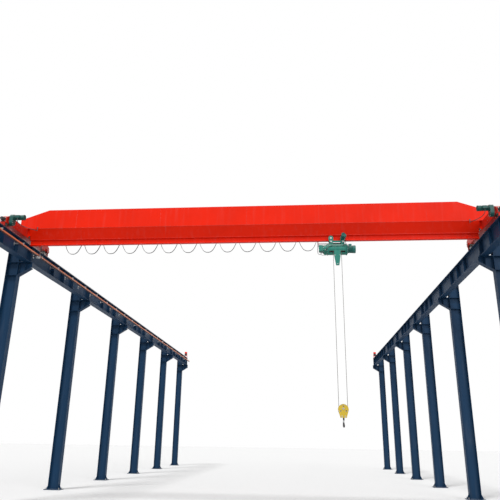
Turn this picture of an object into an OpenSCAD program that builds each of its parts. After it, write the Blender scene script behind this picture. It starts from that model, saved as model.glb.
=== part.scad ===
// Single-girder overhead travelling crane with a wire rope hoist, on six bays of runway.
// X runs along the bridge, Y along the runway, Z up. The origin is the centre of the
// footprint at floor level. Millimetres.

/* [Runway] */
// Distance between the centre lines of the two rails
span = 16500; // [12000:500:22500]
// Distance between neighbouring columns along the runway
bay = 6000; // [5000:250:7500]
// Number of bays along the runway
bays = 6; // [3:1:7]
// Height of the top of the rail above the floor
rail_top = 9000; // [7500:100:11000]
// Height of a runway beam
beam_h = 600; // [500:10:700]
// Width of a runway beam's flanges
beam_w = 280; // [240:10:340]
// Thickness of a runway beam's flanges
beam_flange_t = 14; // [10:1:20]
// Thickness of a runway beam's web
beam_web_t = 8; // [6:1:12]
// Distance between the web stiffeners of a runway beam
stiffener_pitch = 1000; // [750:50:1500]
// Thickness of the stiffeners, gussets and diaphragms
stiffener_t = 8; // [6:1:12]

/* [Columns] */
// Depth of a column's section, across the runway
column_depth = 450; // [400:10:520]
// Width of a column's flanges, along the runway
column_w = 250; // [220:10:300]
// Thickness of a column's flanges
column_flange_t = 14; // [10:1:20]
// Thickness of a column's web
column_web_t = 9; // [7:1:12]
// Distance from the rail's centre line to the inner face of a column
column_offset = 280; // [240:10:340]
// Depth of a bracket where it meets the column
bracket_root_h = 520; // [420:10:600]
// Depth of a bracket at its tip
bracket_tip_h = 220; // [160:10:260]
// Length of a base plate, across the runway
base_length = 700; // [640:10:800]
// Width of a base plate, along the runway
base_width = 460; // [400:10:560]
// Thickness of a base plate
base_t = 25; // [20:1:40]
// Diameter of an anchor bolt hole
anchor_d = 30; // [24:1:36]
// Distance between the anchor holes across the runway
anchor_x = 580; // [540:10:620]
// Distance between the anchor holes along the runway
anchor_y = 320; // [280:10:360]

/* [Rail and conductor] */
// Height of the crane rail
rail_h = 107; // [93:1:134]
// Width of the crane rail's foot
rail_foot_w = 92; // [80:1:114]
// Width of the crane rail's head
rail_head_w = 51; // [42:1:60]
// Distance of the conductor tube inwards from the rail's centre line
conductor_in = 330; // [280:10:380]
// Distance of the conductor tube's top below the top of the rail
conductor_drop = 385; // [350:5:450]
// Width of the conductor tube
conductor_w = 60; // [50:1:80]
// Height of the conductor tube
conductor_h = 72; // [60:1:90]

/* [Bridge girder] */
// Distance of the bridge before the second line of columns
bridge_ahead = 350; // [0:10:900]
// Width of the upper box of the girder
box_w = 480; // [400:10:540]
// Height of the upper box of the girder at midspan
box_h = 720; // [600:10:800]
// Height of the upper box at its ends
box_end_h = 350; // [280:10:400]
// Length of the sloped top at each end of the box
box_taper = 1040; // [800:20:1400]
// Thickness of the box webs and sloping plates
plate_t = 8; // [6:1:12]
// Thickness of the box top plate
top_plate_t = 10; // [8:1:14]
// Height of the sloping plates between the box and the hoist beam
slope_h = 380; // [320:10:440]
// Height of the hoist beam
hoist_beam_h = 210; // [200:10:300]
// Width of the hoist beam's flanges
hoist_beam_w = 140; // [120:2:150]
// Thickness of the hoist beam's flanges
hoist_flange_t = 14; // [12:1:18]
// Thickness of the hoist beam's web
hoist_web_t = 8.5; // [7:0.5:11]
// Distance of the hoist beam's underside below the top of the rail
beam_below_rail = 180; // [120:5:200]

/* [End carriages] */
// Distance between the two wheels of an end carriage
wheelbase = 3000; // [2400:50:3400]
// Diameter of a wheel's tread
wheel_d = 300; // [270:5:330]
// Width of an end carriage
carriage_w = 220; // [200:5:260]
// Thickness of an end carriage's side plates
carriage_t = 10; // [8:1:14]
// Gap between the rail's top and the underside of an end carriage
carriage_lift = 90; // [70:5:110]
// Diameter of a travelling wheel's axle
axle_d = 60; // [50:1:70]
// Length of a rubber buffer
buffer_l = 140; // [100:10:200]

/* [Hoist] */
// Place of the hoist along the bridge, from midspan
hoist_x = 3180; // [-3000:20:6500]
// Diameter of the drum housing
casing_d = 390; // [370:5:430]
// Length of the drum housing
casing_l = 680; // [640:10:800]
// Wall thickness of the drum housing
casing_t = 10; // [8:1:14]
// Diameter of the rope drum
drum_d = 280; // [260:5:290]
// Distance from the hoist beam's underside to the top of the drum housing
casing_gap = 120; // [110:5:160]
// Diameter of a trolley wheel's tread
trolley_wheel_d = 134; // [116:1:150]
// Distance between the two pairs of trolley wheels
trolley_base = 410; // [360:10:460]
// Length of the rope guide below the drum housing
guide_drop = 420; // [300:10:480]
// Diameter of the wire rope
rope_d = 15; // [13:1:18]
// Pitch diameter of the hook block's sheave
sheave_d = 280; // [260:5:300]
// Height of the hook block's sheave axis above the floor
hook_z = 3100; // [2200:50:5000]

/* [Festoon] */
// Distance of the track from the girder's centre line
track_y = 380; // [350:5:420]
// Height of the track's underside above the hoist beam's underside
track_up = 300; // [260:5:340]
// Place of the fixed end of the cable, from midspan
festoon_x = -6920; // [-7300:10:-6600]
// Distance from the hoist's centre to the towed end of the cable
tow_reach = 640; // [600:10:700]
// Distance between the arms of the track
track_arm_pitch = 1800; // [1200:50:2400]
// Depth of a cable loop
loop_h = 460; // [380:10:600]
// Thickness of the flat festoon cable
cable_t = 14; // [10:1:18]

/* [Hidden] */
$fn = 48;

steel_blue = [0.10, 0.17, 0.26];
crane_red = [0.87, 0.09, 0.04];
hoist_green = [0.10, 0.50, 0.40];
block_yellow = [0.85, 0.68, 0.12];
bare_steel = [0.45, 0.45, 0.47];
rubber_black = [0.06, 0.06, 0.06];
conductor_orange = [0.93, 0.40, 0.12];

// clearance between pieces that move past each other at rest
gap = 0.3;
// radial clearance of a shaft in its bearing
bearing_gap = 0.05;
// depth by which a welded plate runs into the next one
weld_lap = 2;

// runway
run_l = bays * bay;
beam_top = rail_top - rail_h;
beam_bottom = beam_top - beam_h;
end_over = column_w / 2;
joint_gap = 10;
rail_end_in = 180;
column_x = span / 2 + column_offset + column_depth / 2;
column_top = beam_top + 60;
bracket_plate_t = 20;
bracket_reach = column_offset + beam_w / 2 + 60;

// bridge
bridge_y = -run_l / 2 + bay - bridge_ahead;
beam_under = rail_top - beam_below_rail;
hoist_beam_top = beam_under + hoist_beam_h;
box_bottom = hoist_beam_top + slope_h;
box_top = box_bottom + box_h;
saddle_t = 20;
carriage_bottom = rail_top + carriage_lift;
carriage_top = box_bottom - saddle_t;
carriage_inner = span / 2 - carriage_w / 2;
girder_over = 165;
girder_half = span / 2 + girder_over;
bracket_gap = 90;
lower_half = carriage_inner - bracket_gap;
axle_z = rail_top + wheel_d / 2 + gap;
carriage_half = wheelbase / 2 + 200;
buffer_z = carriage_bottom + 110;
buffer_plate_t = 16;
buffer_r = 62;
buffer_tip = carriage_half + buffer_plate_t + buffer_l;
boss_l = 45;
boss_d = 130;
cap_t = 8;
wheel_flange_h = 20;
wheel_flange_t = 15;
wheel_tread_w = 75;
wheel_w = wheel_tread_w + 2 * wheel_flange_t;

// hoist
axis_z = beam_under - casing_gap - casing_d / 2;
trolley_axle_z = beam_under + hoist_flange_t + trolley_wheel_d / 2 + gap;
groove_depth = 5;
rope_seat = 1.5;
fall_y = -drum_d / 2 + groove_depth - rope_seat - rope_d / 2;
fall_x = sheave_d / 2;
groove_pitch = fall_x / 8;
side_plate_t = 12;
side_plate_in = hoist_beam_w / 2 + 30;

// festoon
loops = 13;
track_h = 32;
track_w = 30;
track_wall = 3;
track_z = beam_under + track_up;
carrier_l = 70;
tow_x = hoist_x - tow_reach;
loop_pitch = (tow_x - festoon_x) / loops;
cable_w = 40;

stop_from_cable = 1390;
stop_from_end = 380;
trolley_stop_left = festoon_x + stop_from_cable;
trolley_stop_right = lower_half - stop_from_end;

// a welded or rolled I section along Z, depth along X
module i_section(depth, width, flange, web) {
    for (s = [-1, 1])
        translate([s * (depth - flange) / 2, 0]) square([flange, width], center = true);
    square([depth - 2 * flange, web], center = true);
}

// a flat bar of rectangular section between two corners
module block(from, to) {
    translate(from) cube(to - from);
}

// a profile drawn in the XZ plane, thick along Y and centred on it
module xz_plate(thick) {
    rotate([90, 0, 0]) linear_extrude(thick, center = true) children();
}

// a profile drawn in the YZ plane, running from one X to another
module yz_bar(from, to) {
    translate([from, 0, 0]) rotate([90, 0, 90]) linear_extrude(to - from) children();
}

// a cylinder along X, centred on the given YZ point
module x_rod(from, to, y, z, r) {
    translate([from, y, z]) rotate([0, 90, 0]) cylinder(r = r, h = to - from);
}

// a cylinder along Y, centred on the given XZ point
module y_rod(from, to, x, z, r) {
    translate([x, to, z]) rotate([90, 0, 0]) cylinder(r = r, h = to - from);
}

// both sides of the runway: the shape is made for the right side, at positive X
module side(s) {
    if (s > 0) children();
    else mirror([1, 0, 0]) children();
}

function column_ys() = [for (i = [0 : bays]) -run_l / 2 + i * bay];

// COLUMN: base plate, shaft, bracket and the tie to the top flange of the beam
module base_plate() {
    gusset_h = 220;
    gusset_l = 100;
    difference() {
        translate([-base_length / 2, -base_width / 2, 0]) cube([base_length, base_width, base_t]);
        for (x = [-1, 1], y = [-1, 1])
            translate([x * anchor_x / 2, y * anchor_y / 2, -1]) cylinder(d = anchor_d, h = base_t + 2);
    }
    for (s = [-1, 1])
        xz_plate(stiffener_t) polygon([
            [s * column_depth / 2, base_t],
            [s * (column_depth / 2 + gusset_l), base_t],
            [s * (column_depth / 2 + gusset_l), base_t + 40],
            [s * column_depth / 2, base_t + gusset_h]]);
}

module column_shaft() {
    top_t = 16;
    translate([0, 0, base_t]) linear_extrude(column_top - base_t - top_t)
        i_section(column_depth, column_w, column_flange_t, column_web_t);
    translate([-column_depth / 2, -column_w / 2, column_top - top_t])
        cube([column_depth, column_w, top_t]);
    // stiffeners across the web, level with the top and foot of the bracket
    for (z = [beam_bottom - bracket_plate_t, beam_bottom - bracket_root_h])
        translate([-column_depth / 2 + column_flange_t, -column_w / 2 + 10, z])
            cube([column_depth - 2 * column_flange_t, column_w - 20, stiffener_t]);
}

module bracket() {
    inner = -column_depth / 2;
    tip = inner - bracket_reach;
    foot_t = 12;
    web_t = 12;
    top = beam_bottom;
    translate([tip, -column_w / 2, top - bracket_plate_t])
        cube([bracket_reach, column_w, bracket_plate_t]);
    xz_plate(web_t) polygon([
        [inner, top - bracket_plate_t], [tip, top - bracket_plate_t],
        [tip, top - bracket_tip_h], [inner, top - bracket_root_h]]);
    // sloping foot flange
    xz_plate(column_w - 20) polygon([
        [inner, top - bracket_root_h], [tip, top - bracket_tip_h],
        [tip, top - bracket_tip_h - foot_t], [inner, top - bracket_root_h - foot_t]]);
    // web stiffeners under the beam's seat
    seat_x = span / 2 - column_x;
    seat_h = bracket_tip_h + (bracket_root_h - bracket_tip_h) * (seat_x - tip) / bracket_reach;
    translate([seat_x - stiffener_t / 2, -column_w / 2 + 10, top - seat_h])
        cube([stiffener_t, column_w - 20, seat_h - bracket_plate_t]);
}

module surge_tie() {
    tie_t = 12;
    tie_w = 200;
    from = span / 2 + stop_w / 2 + 6 - column_x;
    translate([from, -tie_w / 2, beam_top]) cube([-column_depth / 2 - from, tie_w, tie_t]);
}

module columns(s) {
    color(steel_blue) side(s) for (y = column_ys()) translate([column_x, y, 0]) {
        base_plate();
        column_shaft();
        bracket();
        surge_tie();
    }
}

// RUNWAY BEAM: one welded I beam a bay, with web stiffeners
module runway_beam(from, to) {
    inner_h = beam_h - 2 * beam_flange_t;
    mid = (from + to) / 2;
    count = floor((to - from) / 2 / stiffener_pitch);
    rib_w = (beam_w - beam_web_t) / 2 - 15;
    translate([span / 2, to, beam_bottom + beam_h / 2]) rotate([90, 90, 0])
        linear_extrude(to - from) i_section(beam_h, beam_w, beam_flange_t, beam_web_t);
    ribs = concat([for (i = [-count + 1 : count - 1]) mid + i * stiffener_pitch],
        [from + 12, to - 12 - stiffener_t]);
    for (y = ribs, s = [-1, 1])
        translate([span / 2 + (s > 0 ? beam_web_t / 2 : -beam_web_t / 2 - rib_w), y,
            beam_bottom + beam_flange_t]) cube([rib_w, stiffener_t, inner_h]);
}

module runway_beams(s) {
    color(steel_blue) side(s) for (i = [0 : bays - 1]) {
        from = i == 0 ? -run_l / 2 - end_over : -run_l / 2 + i * bay + joint_gap / 2;
        to = i == bays - 1 ? run_l / 2 + end_over : -run_l / 2 + (i + 1) * bay - joint_gap / 2;
        runway_beam(from, to);
    }
}

// CRANE RAIL: foot, web and head of a light flat-bottom rail
module rail_profile() {
    head_h = 26;
    web_t = 11;
    foot_edge = 7;
    foot_mid = 15;
    polygon([
        [-rail_foot_w / 2, 0], [rail_foot_w / 2, 0], [rail_foot_w / 2, foot_edge],
        [web_t / 2, foot_mid], [web_t / 2, rail_h - head_h - 8],
        [rail_head_w / 2, rail_h - head_h], [rail_head_w / 2, rail_h - 4],
        [rail_head_w / 2 - 4, rail_h], [-rail_head_w / 2 + 4, rail_h],
        [-rail_head_w / 2, rail_h - 4], [-rail_head_w / 2, rail_h - head_h],
        [-web_t / 2, rail_h - head_h - 8], [-web_t / 2, foot_mid], [-rail_foot_w / 2, foot_edge]]);
}

rail_half = run_l / 2 + end_over - rail_end_in;

module crane_rail(s) {
    color(bare_steel) side(s) translate([span / 2, rail_half, beam_top]) rotate([90, 0, 0])
        linear_extrude(2 * rail_half) rail_profile();
}

// END STOP: two cheeks and a front plate on the beam's top flange, with a rubber face
stop_front = rail_half - 40;
stop_h = 520;
stop_pad_t = 30;
stop_w = 200;

module end_stop() {
    cheek_t = 16;
    back = run_l / 2 + end_over - 10;
    foot_from = rail_half + 4;
    for (x = [-1, 1])
        translate([x * (stop_w / 2 - cheek_t / 2), 0, 0]) rotate([90, 0, 90])
            linear_extrude(cheek_t, center = true) polygon([
                [foot_from, beam_top], [back, beam_top], [back, beam_top + 80],
                [stop_front + 60, beam_top + stop_h], [stop_front, beam_top + stop_h],
                [stop_front, rail_top + 60], [foot_from, rail_top + 60]]);
    block([-stop_w / 2, foot_from, beam_top], [stop_w / 2, back, beam_top + 16]);
    block([-stop_w / 2, stop_front, rail_top + 60], [stop_w / 2, stop_front + 16, beam_top + stop_h]);
    block([-stop_w / 2, stop_front - stop_pad_t, buffer_z - 85],
        [stop_w / 2, stop_front, buffer_z + 85]);
}

module end_stops() {
    color(crane_red) for (s = [-1, 1], e = [-1, 1])
        translate([s * span / 2, 0, 0]) mirror([0, e > 0 ? 0 : 1, 0]) end_stop();
}

// CONDUCTOR: an enclosed conductor tube on arms, along the left runway
conductor_x = -span / 2 + conductor_in;
conductor_top = rail_top - conductor_drop;
conductor_half = run_l / 2 - 60;
arm_pitch = 1500;
arm_ys = [for (y = [-conductor_half + 310 : arm_pitch : conductor_half - 200]) y];

module conductor_tube() {
    slot = 14;
    wall = 5;
    color(conductor_orange) translate([conductor_x, conductor_half, conductor_top - conductor_h])
        rotate([90, 0, 0]) linear_extrude(2 * conductor_half) difference() {
            translate([-conductor_w / 2, 0]) square([conductor_w, conductor_h]);
            translate([-conductor_w / 2 + wall, wall])
                square([conductor_w - 2 * wall, conductor_h - 2 * wall]);
            translate([-slot / 2, -1]) square([slot, wall + 2]);
        }
}

module conductor_arm(y) {
    arm_h = 45;
    arm_t = 5;
    hook_t = 5;
    web_face = -span / 2 + beam_web_t / 2;
    tip = conductor_x + conductor_w / 2 + 22;
    // angle bar from the beam's web, over the tube
    block([web_face, y - arm_t / 2, conductor_top + hook_t],
        [tip, y + arm_t / 2, conductor_top + hook_t + arm_h]);
    block([web_face, y - 20, conductor_top + hook_t], [tip, y + 20, conductor_top + 2 * hook_t]);
    block([web_face, y - 35, conductor_top - 40], [web_face + hook_t, y + 35, conductor_top + 90]);
    // clamp round the tube
    difference() {
        block([conductor_x - conductor_w / 2 - hook_t, y - 20, conductor_top - conductor_h + 20],
            [conductor_x + conductor_w / 2 + hook_t, y + 20, conductor_top + hook_t]);
        block([conductor_x - conductor_w / 2, y - 21, conductor_top - conductor_h],
            [conductor_x + conductor_w / 2, y + 21, conductor_top]);
    }
}

module conductor_brackets() {
    color(bare_steel) for (y = arm_ys) conductor_arm(y);
}

// GIRDER: an upper box with sloped ends, and sloping plates down to the hoist beam
module box_side_profile() {
    polygon([
        [-girder_half, box_bottom], [girder_half, box_bottom],
        [girder_half, box_bottom + box_end_h], [girder_half - box_taper, box_top],
        [-girder_half + box_taper, box_top], [-girder_half, box_bottom + box_end_h]]);
}

module box_top_strip() {
    t = top_plate_t;
    drop = t * 1.05;
    polygon([
        [-girder_half, box_bottom + box_end_h], [-girder_half + box_taper, box_top],
        [girder_half - box_taper, box_top], [girder_half, box_bottom + box_end_h],
        [girder_half, box_bottom + box_end_h - drop], [girder_half - box_taper, box_top - t],
        [-girder_half + box_taper, box_top - t], [-girder_half, box_bottom + box_end_h - drop]]);
}

module slope_profile() {
    foot = hoist_beam_w / 2;
    top = box_bottom + weld_lap;
    polygon([
        [box_w / 2, top], [box_w / 2 - plate_t, top],
        [foot - plate_t, hoist_beam_top], [foot, hoist_beam_top]]);
}

// the flanged bracket that ties the lower part of the girder to the end carriage
module girder_end_bracket() {
    flange_t = 12;
    half = 150;
    low = carriage_bottom + 30;
    top = box_bottom + weld_lap;
    block([carriage_inner - flange_t, -half, low], [carriage_inner, half, top]);
    for (y = [-1, 1]) translate([0, y * (half - 20), 0]) xz_plate(stiffener_t) polygon([
        [lower_half - weld_lap, top], [carriage_inner - flange_t + weld_lap, top],
        [carriage_inner - flange_t + weld_lap, low], [lower_half - weld_lap, low + 60]]);
}

module girder_end() {
    half = box_w / 2 - plate_t + weld_lap;
    foot = hoist_beam_w / 2 - plate_t + weld_lap;
    floor_t = 12;
    // closing plates of the lower part and of the box
    yz_bar(lower_half - stiffener_t, lower_half) polygon([
        [-half, box_bottom + weld_lap], [half, box_bottom + weld_lap],
        [foot, hoist_beam_top], [-foot, hoist_beam_top]]);
    block([lower_half - stiffener_t, -half, box_bottom],
        [girder_half - weld_lap, half, box_bottom + floor_t]);
    block([girder_half - stiffener_t, -half, box_bottom],
        [girder_half, half, box_bottom + box_end_h - top_plate_t + weld_lap]);
    girder_end_bracket();
}

module girder_box() {
    color(crane_red) translate([0, bridge_y, 0]) {
        for (y = [-1, 1]) translate([0, y * (box_w - plate_t) / 2, 0])
            xz_plate(plate_t) box_side_profile();
        xz_plate(box_w - 2 * plate_t) box_top_strip();
        yz_bar(-lower_half, lower_half) slope_profile();
        yz_bar(-lower_half, lower_half) mirror([1, 0]) slope_profile();
        for (s = [-1, 1]) side(s) girder_end();
    }
}

module hoist_beam() {
    stop_t = 20;
    color(crane_red) translate([0, bridge_y, 0]) {
        translate([-lower_half, 0, beam_under + hoist_beam_h / 2]) rotate([0, 90, 0])
            linear_extrude(2 * lower_half)
            i_section(hoist_beam_h, hoist_beam_w, hoist_flange_t, hoist_web_t);
        // end stops for the trolley, on the lower flange
        for (x = [trolley_stop_left, trolley_stop_right], y = [-1, 1]) {
            inner = y > 0 ? hoist_web_t / 2 : -hoist_beam_w / 2;
            translate([x - stop_t / 2, inner, beam_under + hoist_flange_t])
                cube([stop_t, (hoist_beam_w - hoist_web_t) / 2, 110]);
        }
    }
}

// END CARRIAGE: a plated box with a wheel pocket and bearing bosses at each end
module carriage_side_profile() {
    chamfer = 110;
    polygon([
        [-carriage_half, carriage_bottom], [carriage_half, carriage_bottom],
        [carriage_half, carriage_top - chamfer], [carriage_half - chamfer * 1.6, carriage_top],
        [-carriage_half + chamfer * 1.6, carriage_top], [-carriage_half, carriage_top - chamfer]]);
}

module carriage_plates() {
    pocket = carriage_half - wheelbase / 2 + wheel_d / 2 + 40;
    roof = carriage_t;
    chamfer = 110;
    half = carriage_w / 2;
    difference() {
        yz_bar(-half, half) carriage_side_profile();
        // the middle chamber, closed all round
        block([-half + carriage_t, -carriage_half + pocket + 10, carriage_bottom + 10],
            [half - carriage_t, carriage_half - pocket - 10, carriage_top - roof]);
        // the wheel pockets, open below
        for (s = [-1, 1]) mirror([0, s > 0 ? 0 : 1, 0])
            yz_bar(-half + carriage_t, half - carriage_t) polygon([
                [carriage_half - pocket, carriage_bottom - 1], [carriage_half - 10, carriage_bottom - 1],
                [carriage_half - 10, carriage_top - chamfer - 4],
                [carriage_half - chamfer * 1.6 - 4, carriage_top - roof],
                [carriage_half - pocket, carriage_top - roof]]);
        for (y = [-wheelbase / 2, wheelbase / 2])
            x_rod(-half - boss_l, half + boss_l, y, axle_z, axle_d / 2 + bearing_gap);
    }
}

module bearing_boss(y) {
    half = carriage_w / 2;
    for (s = [-1, 1]) {
        from = s > 0 ? half : -half - boss_l;
        to = from + boss_l;
        difference() {
            x_rod(from, to, y, axle_z, boss_d / 2);
            x_rod(s > 0 ? from - 1 : from + cap_t, s > 0 ? to - cap_t : to + 1, y, axle_z,
                axle_d / 2 + bearing_gap);
        }
    }
}

// a plate that sweeps the rail clear in front of each wheel
module rail_sweep(s) {
    t = 12;
    y = s * (carriage_half + t / 2);
    translate([0, y, 0]) difference() {
        block([-80, -t / 2, rail_top - 30], [80, t / 2, carriage_bottom + 20]);
        block([-rail_head_w / 2 - 10, -t, rail_top - 31],
            [rail_head_w / 2 + 10, t, rail_top + 12]);
    }
}

module end_carriage(s) {
    saddle_l = box_w + 60;
    color(crane_red) translate([s * span / 2, bridge_y, 0]) {
        carriage_plates();
        for (y = [-wheelbase / 2, wheelbase / 2]) bearing_boss(y);
        block([-carriage_w / 2, -saddle_l / 2, carriage_top], [carriage_w / 2, saddle_l / 2, box_bottom]);
        for (e = [-1, 1]) rail_sweep(e);
    }
}

module carriage_buffers() {
    color(rubber_black) for (s = [-1, 1], e = [-1, 1]) translate([s * span / 2, bridge_y, 0])
        mirror([0, e > 0 ? 0 : 1, 0]) {
            block([-80, carriage_half, buffer_z - 80], [80, carriage_half + buffer_plate_t, buffer_z + 80]);
            y_rod(carriage_half + buffer_plate_t, carriage_half + buffer_plate_t + buffer_l * 0.8,
                0, buffer_z, buffer_r);
            y_rod(carriage_half + buffer_plate_t + buffer_l * 0.8, buffer_tip, 0, buffer_z,
                buffer_r - 12);
        }
}

// TRAVELLING WHEEL: double-flanged, on its axle
module travel_wheel(s, e) {
    half = carriage_w / 2;
    reach = half + boss_l - cap_t - gap;
    color(bare_steel) translate([s * span / 2, bridge_y + e * wheelbase / 2, axle_z]) {
        difference() {
            rotate([0, 90, 0]) rotate_extrude() polygon([
                [0, -wheel_w / 2], [wheel_d / 2 + wheel_flange_h, -wheel_w / 2],
                [wheel_d / 2 + wheel_flange_h, -wheel_w / 2 + wheel_flange_t - 5],
                [wheel_d / 2, -wheel_tread_w / 2], [wheel_d / 2, wheel_tread_w / 2],
                [wheel_d / 2 + wheel_flange_h, wheel_w / 2 - wheel_flange_t + 5],
                [wheel_d / 2 + wheel_flange_h, wheel_w / 2], [0, wheel_w / 2]]);
            // dished faces of the wheel
            for (d = [-1, 1]) rotate([0, 90, 0]) translate([0, 0, d * (wheel_w / 2 - 6)])
                difference() {
                    cylinder(r = wheel_d / 2 - 22, h = 30, center = true);
                    cylinder(r = 58, h = 31, center = true);
                }
        }
        x_rod(-reach, reach, 0, 0, axle_d / 2);
    }
}

// TRAVEL DRIVE: a gear case on the inner bearing boss, with a flanged motor
module fin_rings(from, to, r, fins) {
    step = (to - from) / fins;
    for (i = [0 : fins - 1]) x_rod(from + i * step, from + i * step + step * 0.45, 0, 0, r);
}

module motor(length, r) {
    // along -X from the origin: flange, finned barrel and fan cover
    x_rod(-22, 0, 0, 0, r + 14);
    x_rod(-length + 70, -22, 0, 0, r - 12);
    fin_rings(-length + 84, -34, r, 9);
    x_rod(-length, -length + 70, 0, 0, r + 4);
    block([-length * 0.68, -r - 38, -46], [-length * 0.34, -r + 20, 46]);
}

motor_rise = 180;
drive_motor_l = 330;

module travel_drive(s) {
    case_t = 120;
    case_r = 118;
    top_r = 112;
    face = span / 2 - carriage_w / 2 - boss_l;
    color(hoist_green) side(s) translate([0, bridge_y - wheelbase / 2, 0]) {
        translate([face - case_t, 0, 0]) rotate([90, 0, 90]) linear_extrude(case_t) {
            translate([0, axle_z]) circle(r = case_r);
            translate([0, axle_z + motor_rise]) circle(r = top_r);
            polygon([[-case_r, axle_z], [case_r, axle_z], [top_r, axle_z + motor_rise],
                [-top_r, axle_z + motor_rise]]);
        }
        // bearing cover on the gear case
        x_rod(face - case_t - 18, face - case_t, 0, axle_z, 62);
        translate([face - case_t, 0, axle_z + motor_rise]) motor(drive_motor_l, 88);
    }
}

// CONTROL CABINET: on the far side of the girder box
cabinet = [620, 240, 560];
cabinet_from_end = 1550;
cabinet_x = -lower_half + cabinet_from_end;

module control_cabinet() {
    rail_t = 40;
    z = box_bottom + 90;
    y = box_w / 2;
    color([0.75, 0.76, 0.74]) translate([cabinet_x, bridge_y, 0]) {
        difference() {
            block([-cabinet[0] / 2, y + rail_t, z],
                [cabinet[0] / 2, y + rail_t + cabinet[1], z + cabinet[2]]);
            block([-cabinet[0] / 2 + 4, y + rail_t + 4, z + 4],
                [cabinet[0] / 2 - 4, y + rail_t + cabinet[1] - 8, z + cabinet[2] - 4]);
            // recess round the door
            difference() {
                block([-cabinet[0] / 2 - 1, y + rail_t + cabinet[1] - 4, z - 1],
                    [cabinet[0] / 2 + 1, y + rail_t + cabinet[1] + 1, z + cabinet[2] + 1]);
                block([-cabinet[0] / 2 + 14, y + rail_t, z + 14],
                    [cabinet[0] / 2 - 14, y + rail_t + cabinet[1] + 2, z + cabinet[2] - 14]);
            }
        }
        for (x = [-1, 1]) block([x * 220 - 20, y, z + 30], [x * 220 + 20, y + rail_t, z + cabinet[2] - 30]);
    }
}

// distance of the collector beyond the girder's centre line
collector_ahead = 430;

// CURRENT COLLECTOR: an arm from the left end carriage down to the conductor tube
module current_collector() {
    y = bridge_y + collector_ahead;
    top = carriage_bottom + 80;
    inner = -span / 2 + carriage_w / 2;
    low = conductor_top - conductor_h;
    color(bare_steel) {
        // post on the carriage's inner face, passing the beam's flange
        block([inner, y - 60, top - 40], [inner + 12, y + 60, top + 100]);
        block([inner + 12, y - 20, top], [conductor_x + 90, y + 20, top + 40]);
        block([conductor_x + 60, y - 20, low - 70], [conductor_x + 90, y + 20, top]);
        // towing fork under the tube, with the shoe in the slot
        block([conductor_x - 60, y - 20, low - 70], [conductor_x + 60, y + 20, low - 50]);
        block([conductor_x - 45, y - 110, low - 50], [conductor_x + 45, y + 110, low - 8]);
        block([conductor_x - 4, y - 60, low - 8], [conductor_x + 4, y + 60, low + 30]);
    }
}

// FESTOON TRACK: a C rail on arms, on the far side of the girder
track_from = festoon_x - 120;
track_to = lower_half - 250;
track_arm_xs = [for (x = [track_from + 160 : track_arm_pitch : track_to - 100]) x];

module festoon_track() {
    wall = track_wall;
    lip = 8;
    y = bridge_y + track_y;
    color(bare_steel) {
        translate([0, y, track_z]) yz_bar(track_from, track_to) difference() {
            translate([-track_w / 2, 0]) square([track_w, track_h]);
            translate([-track_w / 2 + wall, wall]) square([track_w - 2 * wall, track_h - 2 * wall]);
            translate([-track_w / 2 + lip, -1]) square([track_w - 2 * lip, wall + 2]);
        }
        // the clamp that holds the fixed end of the cable
        translate([festoon_x, y, 0]) {
            carrier_body();
            block([-carrier_l / 2, -track_w / 2, track_z], [carrier_l / 2, track_w / 2, carrier_top]);
        }
    }
}

// TRACK ARMS: one strap of flat bar each, from the box's lower edge down over the track
module track_arm() {
    t = 6;
    w = 40;
    face = box_w / 2;
    far = track_y + track_w / 2;
    seat = track_z + track_h;
    ledge = box_bottom + 20;
    yz_bar(-w / 2, w / 2) polygon([
        [face, ledge], [far, ledge], [far, seat + t], [track_y - track_w / 2, seat + t],
        [track_y - track_w / 2, seat], [far, seat], [far, track_z], [far + t, track_z],
        [far + t, ledge + t], [face + t, ledge + t], [face + t, ledge + 100], [face, ledge + 100]]);
}

module festoon_track_arms() {
    color(bare_steel) for (x = track_arm_xs) translate([x, bridge_y, 0]) track_arm();
}

// CABLE CARRIERS: a rolling head in the track and a saddle for the cable below it
carrier_top = track_z + 20;
saddle_z = track_z - 60;
saddle_r = 26;

module carrier_body() {
    strap_t = 5;
    strap_in = cable_w / 2 + 2;
    plate_z = track_z - 12;
    neck_w = 10;
    block([-carrier_l / 2, -10, track_z + track_wall + gap], [carrier_l / 2, 10, carrier_top]);
    block([-14, -neck_w / 2, plate_z], [14, neck_w / 2, track_z + track_wall + gap]);
    block([-14, -strap_in - strap_t, plate_z], [14, strap_in + strap_t, plate_z + 6]);
    for (s = [-1, 1]) translate([0, s * (strap_in + strap_t / 2), 0])
        block([-14, -strap_t / 2, saddle_z], [14, strap_t / 2, plate_z]);
    y_rod(-strap_in - strap_t, strap_in + strap_t, 0, saddle_z, saddle_r);
}

module cable_carrier(i) {
    color(bare_steel) translate([festoon_x + i * loop_pitch, bridge_y + track_y, 0]) carrier_body();
}

// FESTOON CABLE: flat cable over the saddles, in hanging loops
loop_steps = 16;
// steps of the cable's quarter turn on each side of a saddle
bend_steps = 12;
bend_step = 90 / bend_steps;
cable_r = saddle_r + gap + cable_t / 2;
// the sag of a loop between two saddles: steep sides and a round foot
function sag(t) = loop_h * (1 - pow(abs(2 * t - 1), 2.6));
function loop_point(i, t) = [
    festoon_x + i * loop_pitch + cable_r + t * (loop_pitch - 2 * cable_r),
    saddle_z - sag(t)];
function cable_points() = [
    for (i = [0 : loops - 1]) each concat(
        [for (k = [0 : bend_steps - 1]) [festoon_x + i * loop_pitch + cable_r * sin(k * bend_step),
            saddle_z + cable_r * cos(k * bend_step)]],
        [for (k = [0 : loop_steps]) loop_point(i, k / loop_steps)],
        [for (k = [1 : bend_steps - 1]) [festoon_x + (i + 1) * loop_pitch - cable_r * cos(k * bend_step),
            saddle_z + cable_r * sin(k * bend_step)]]),
    [tow_x, saddle_z + cable_r]];

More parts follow.
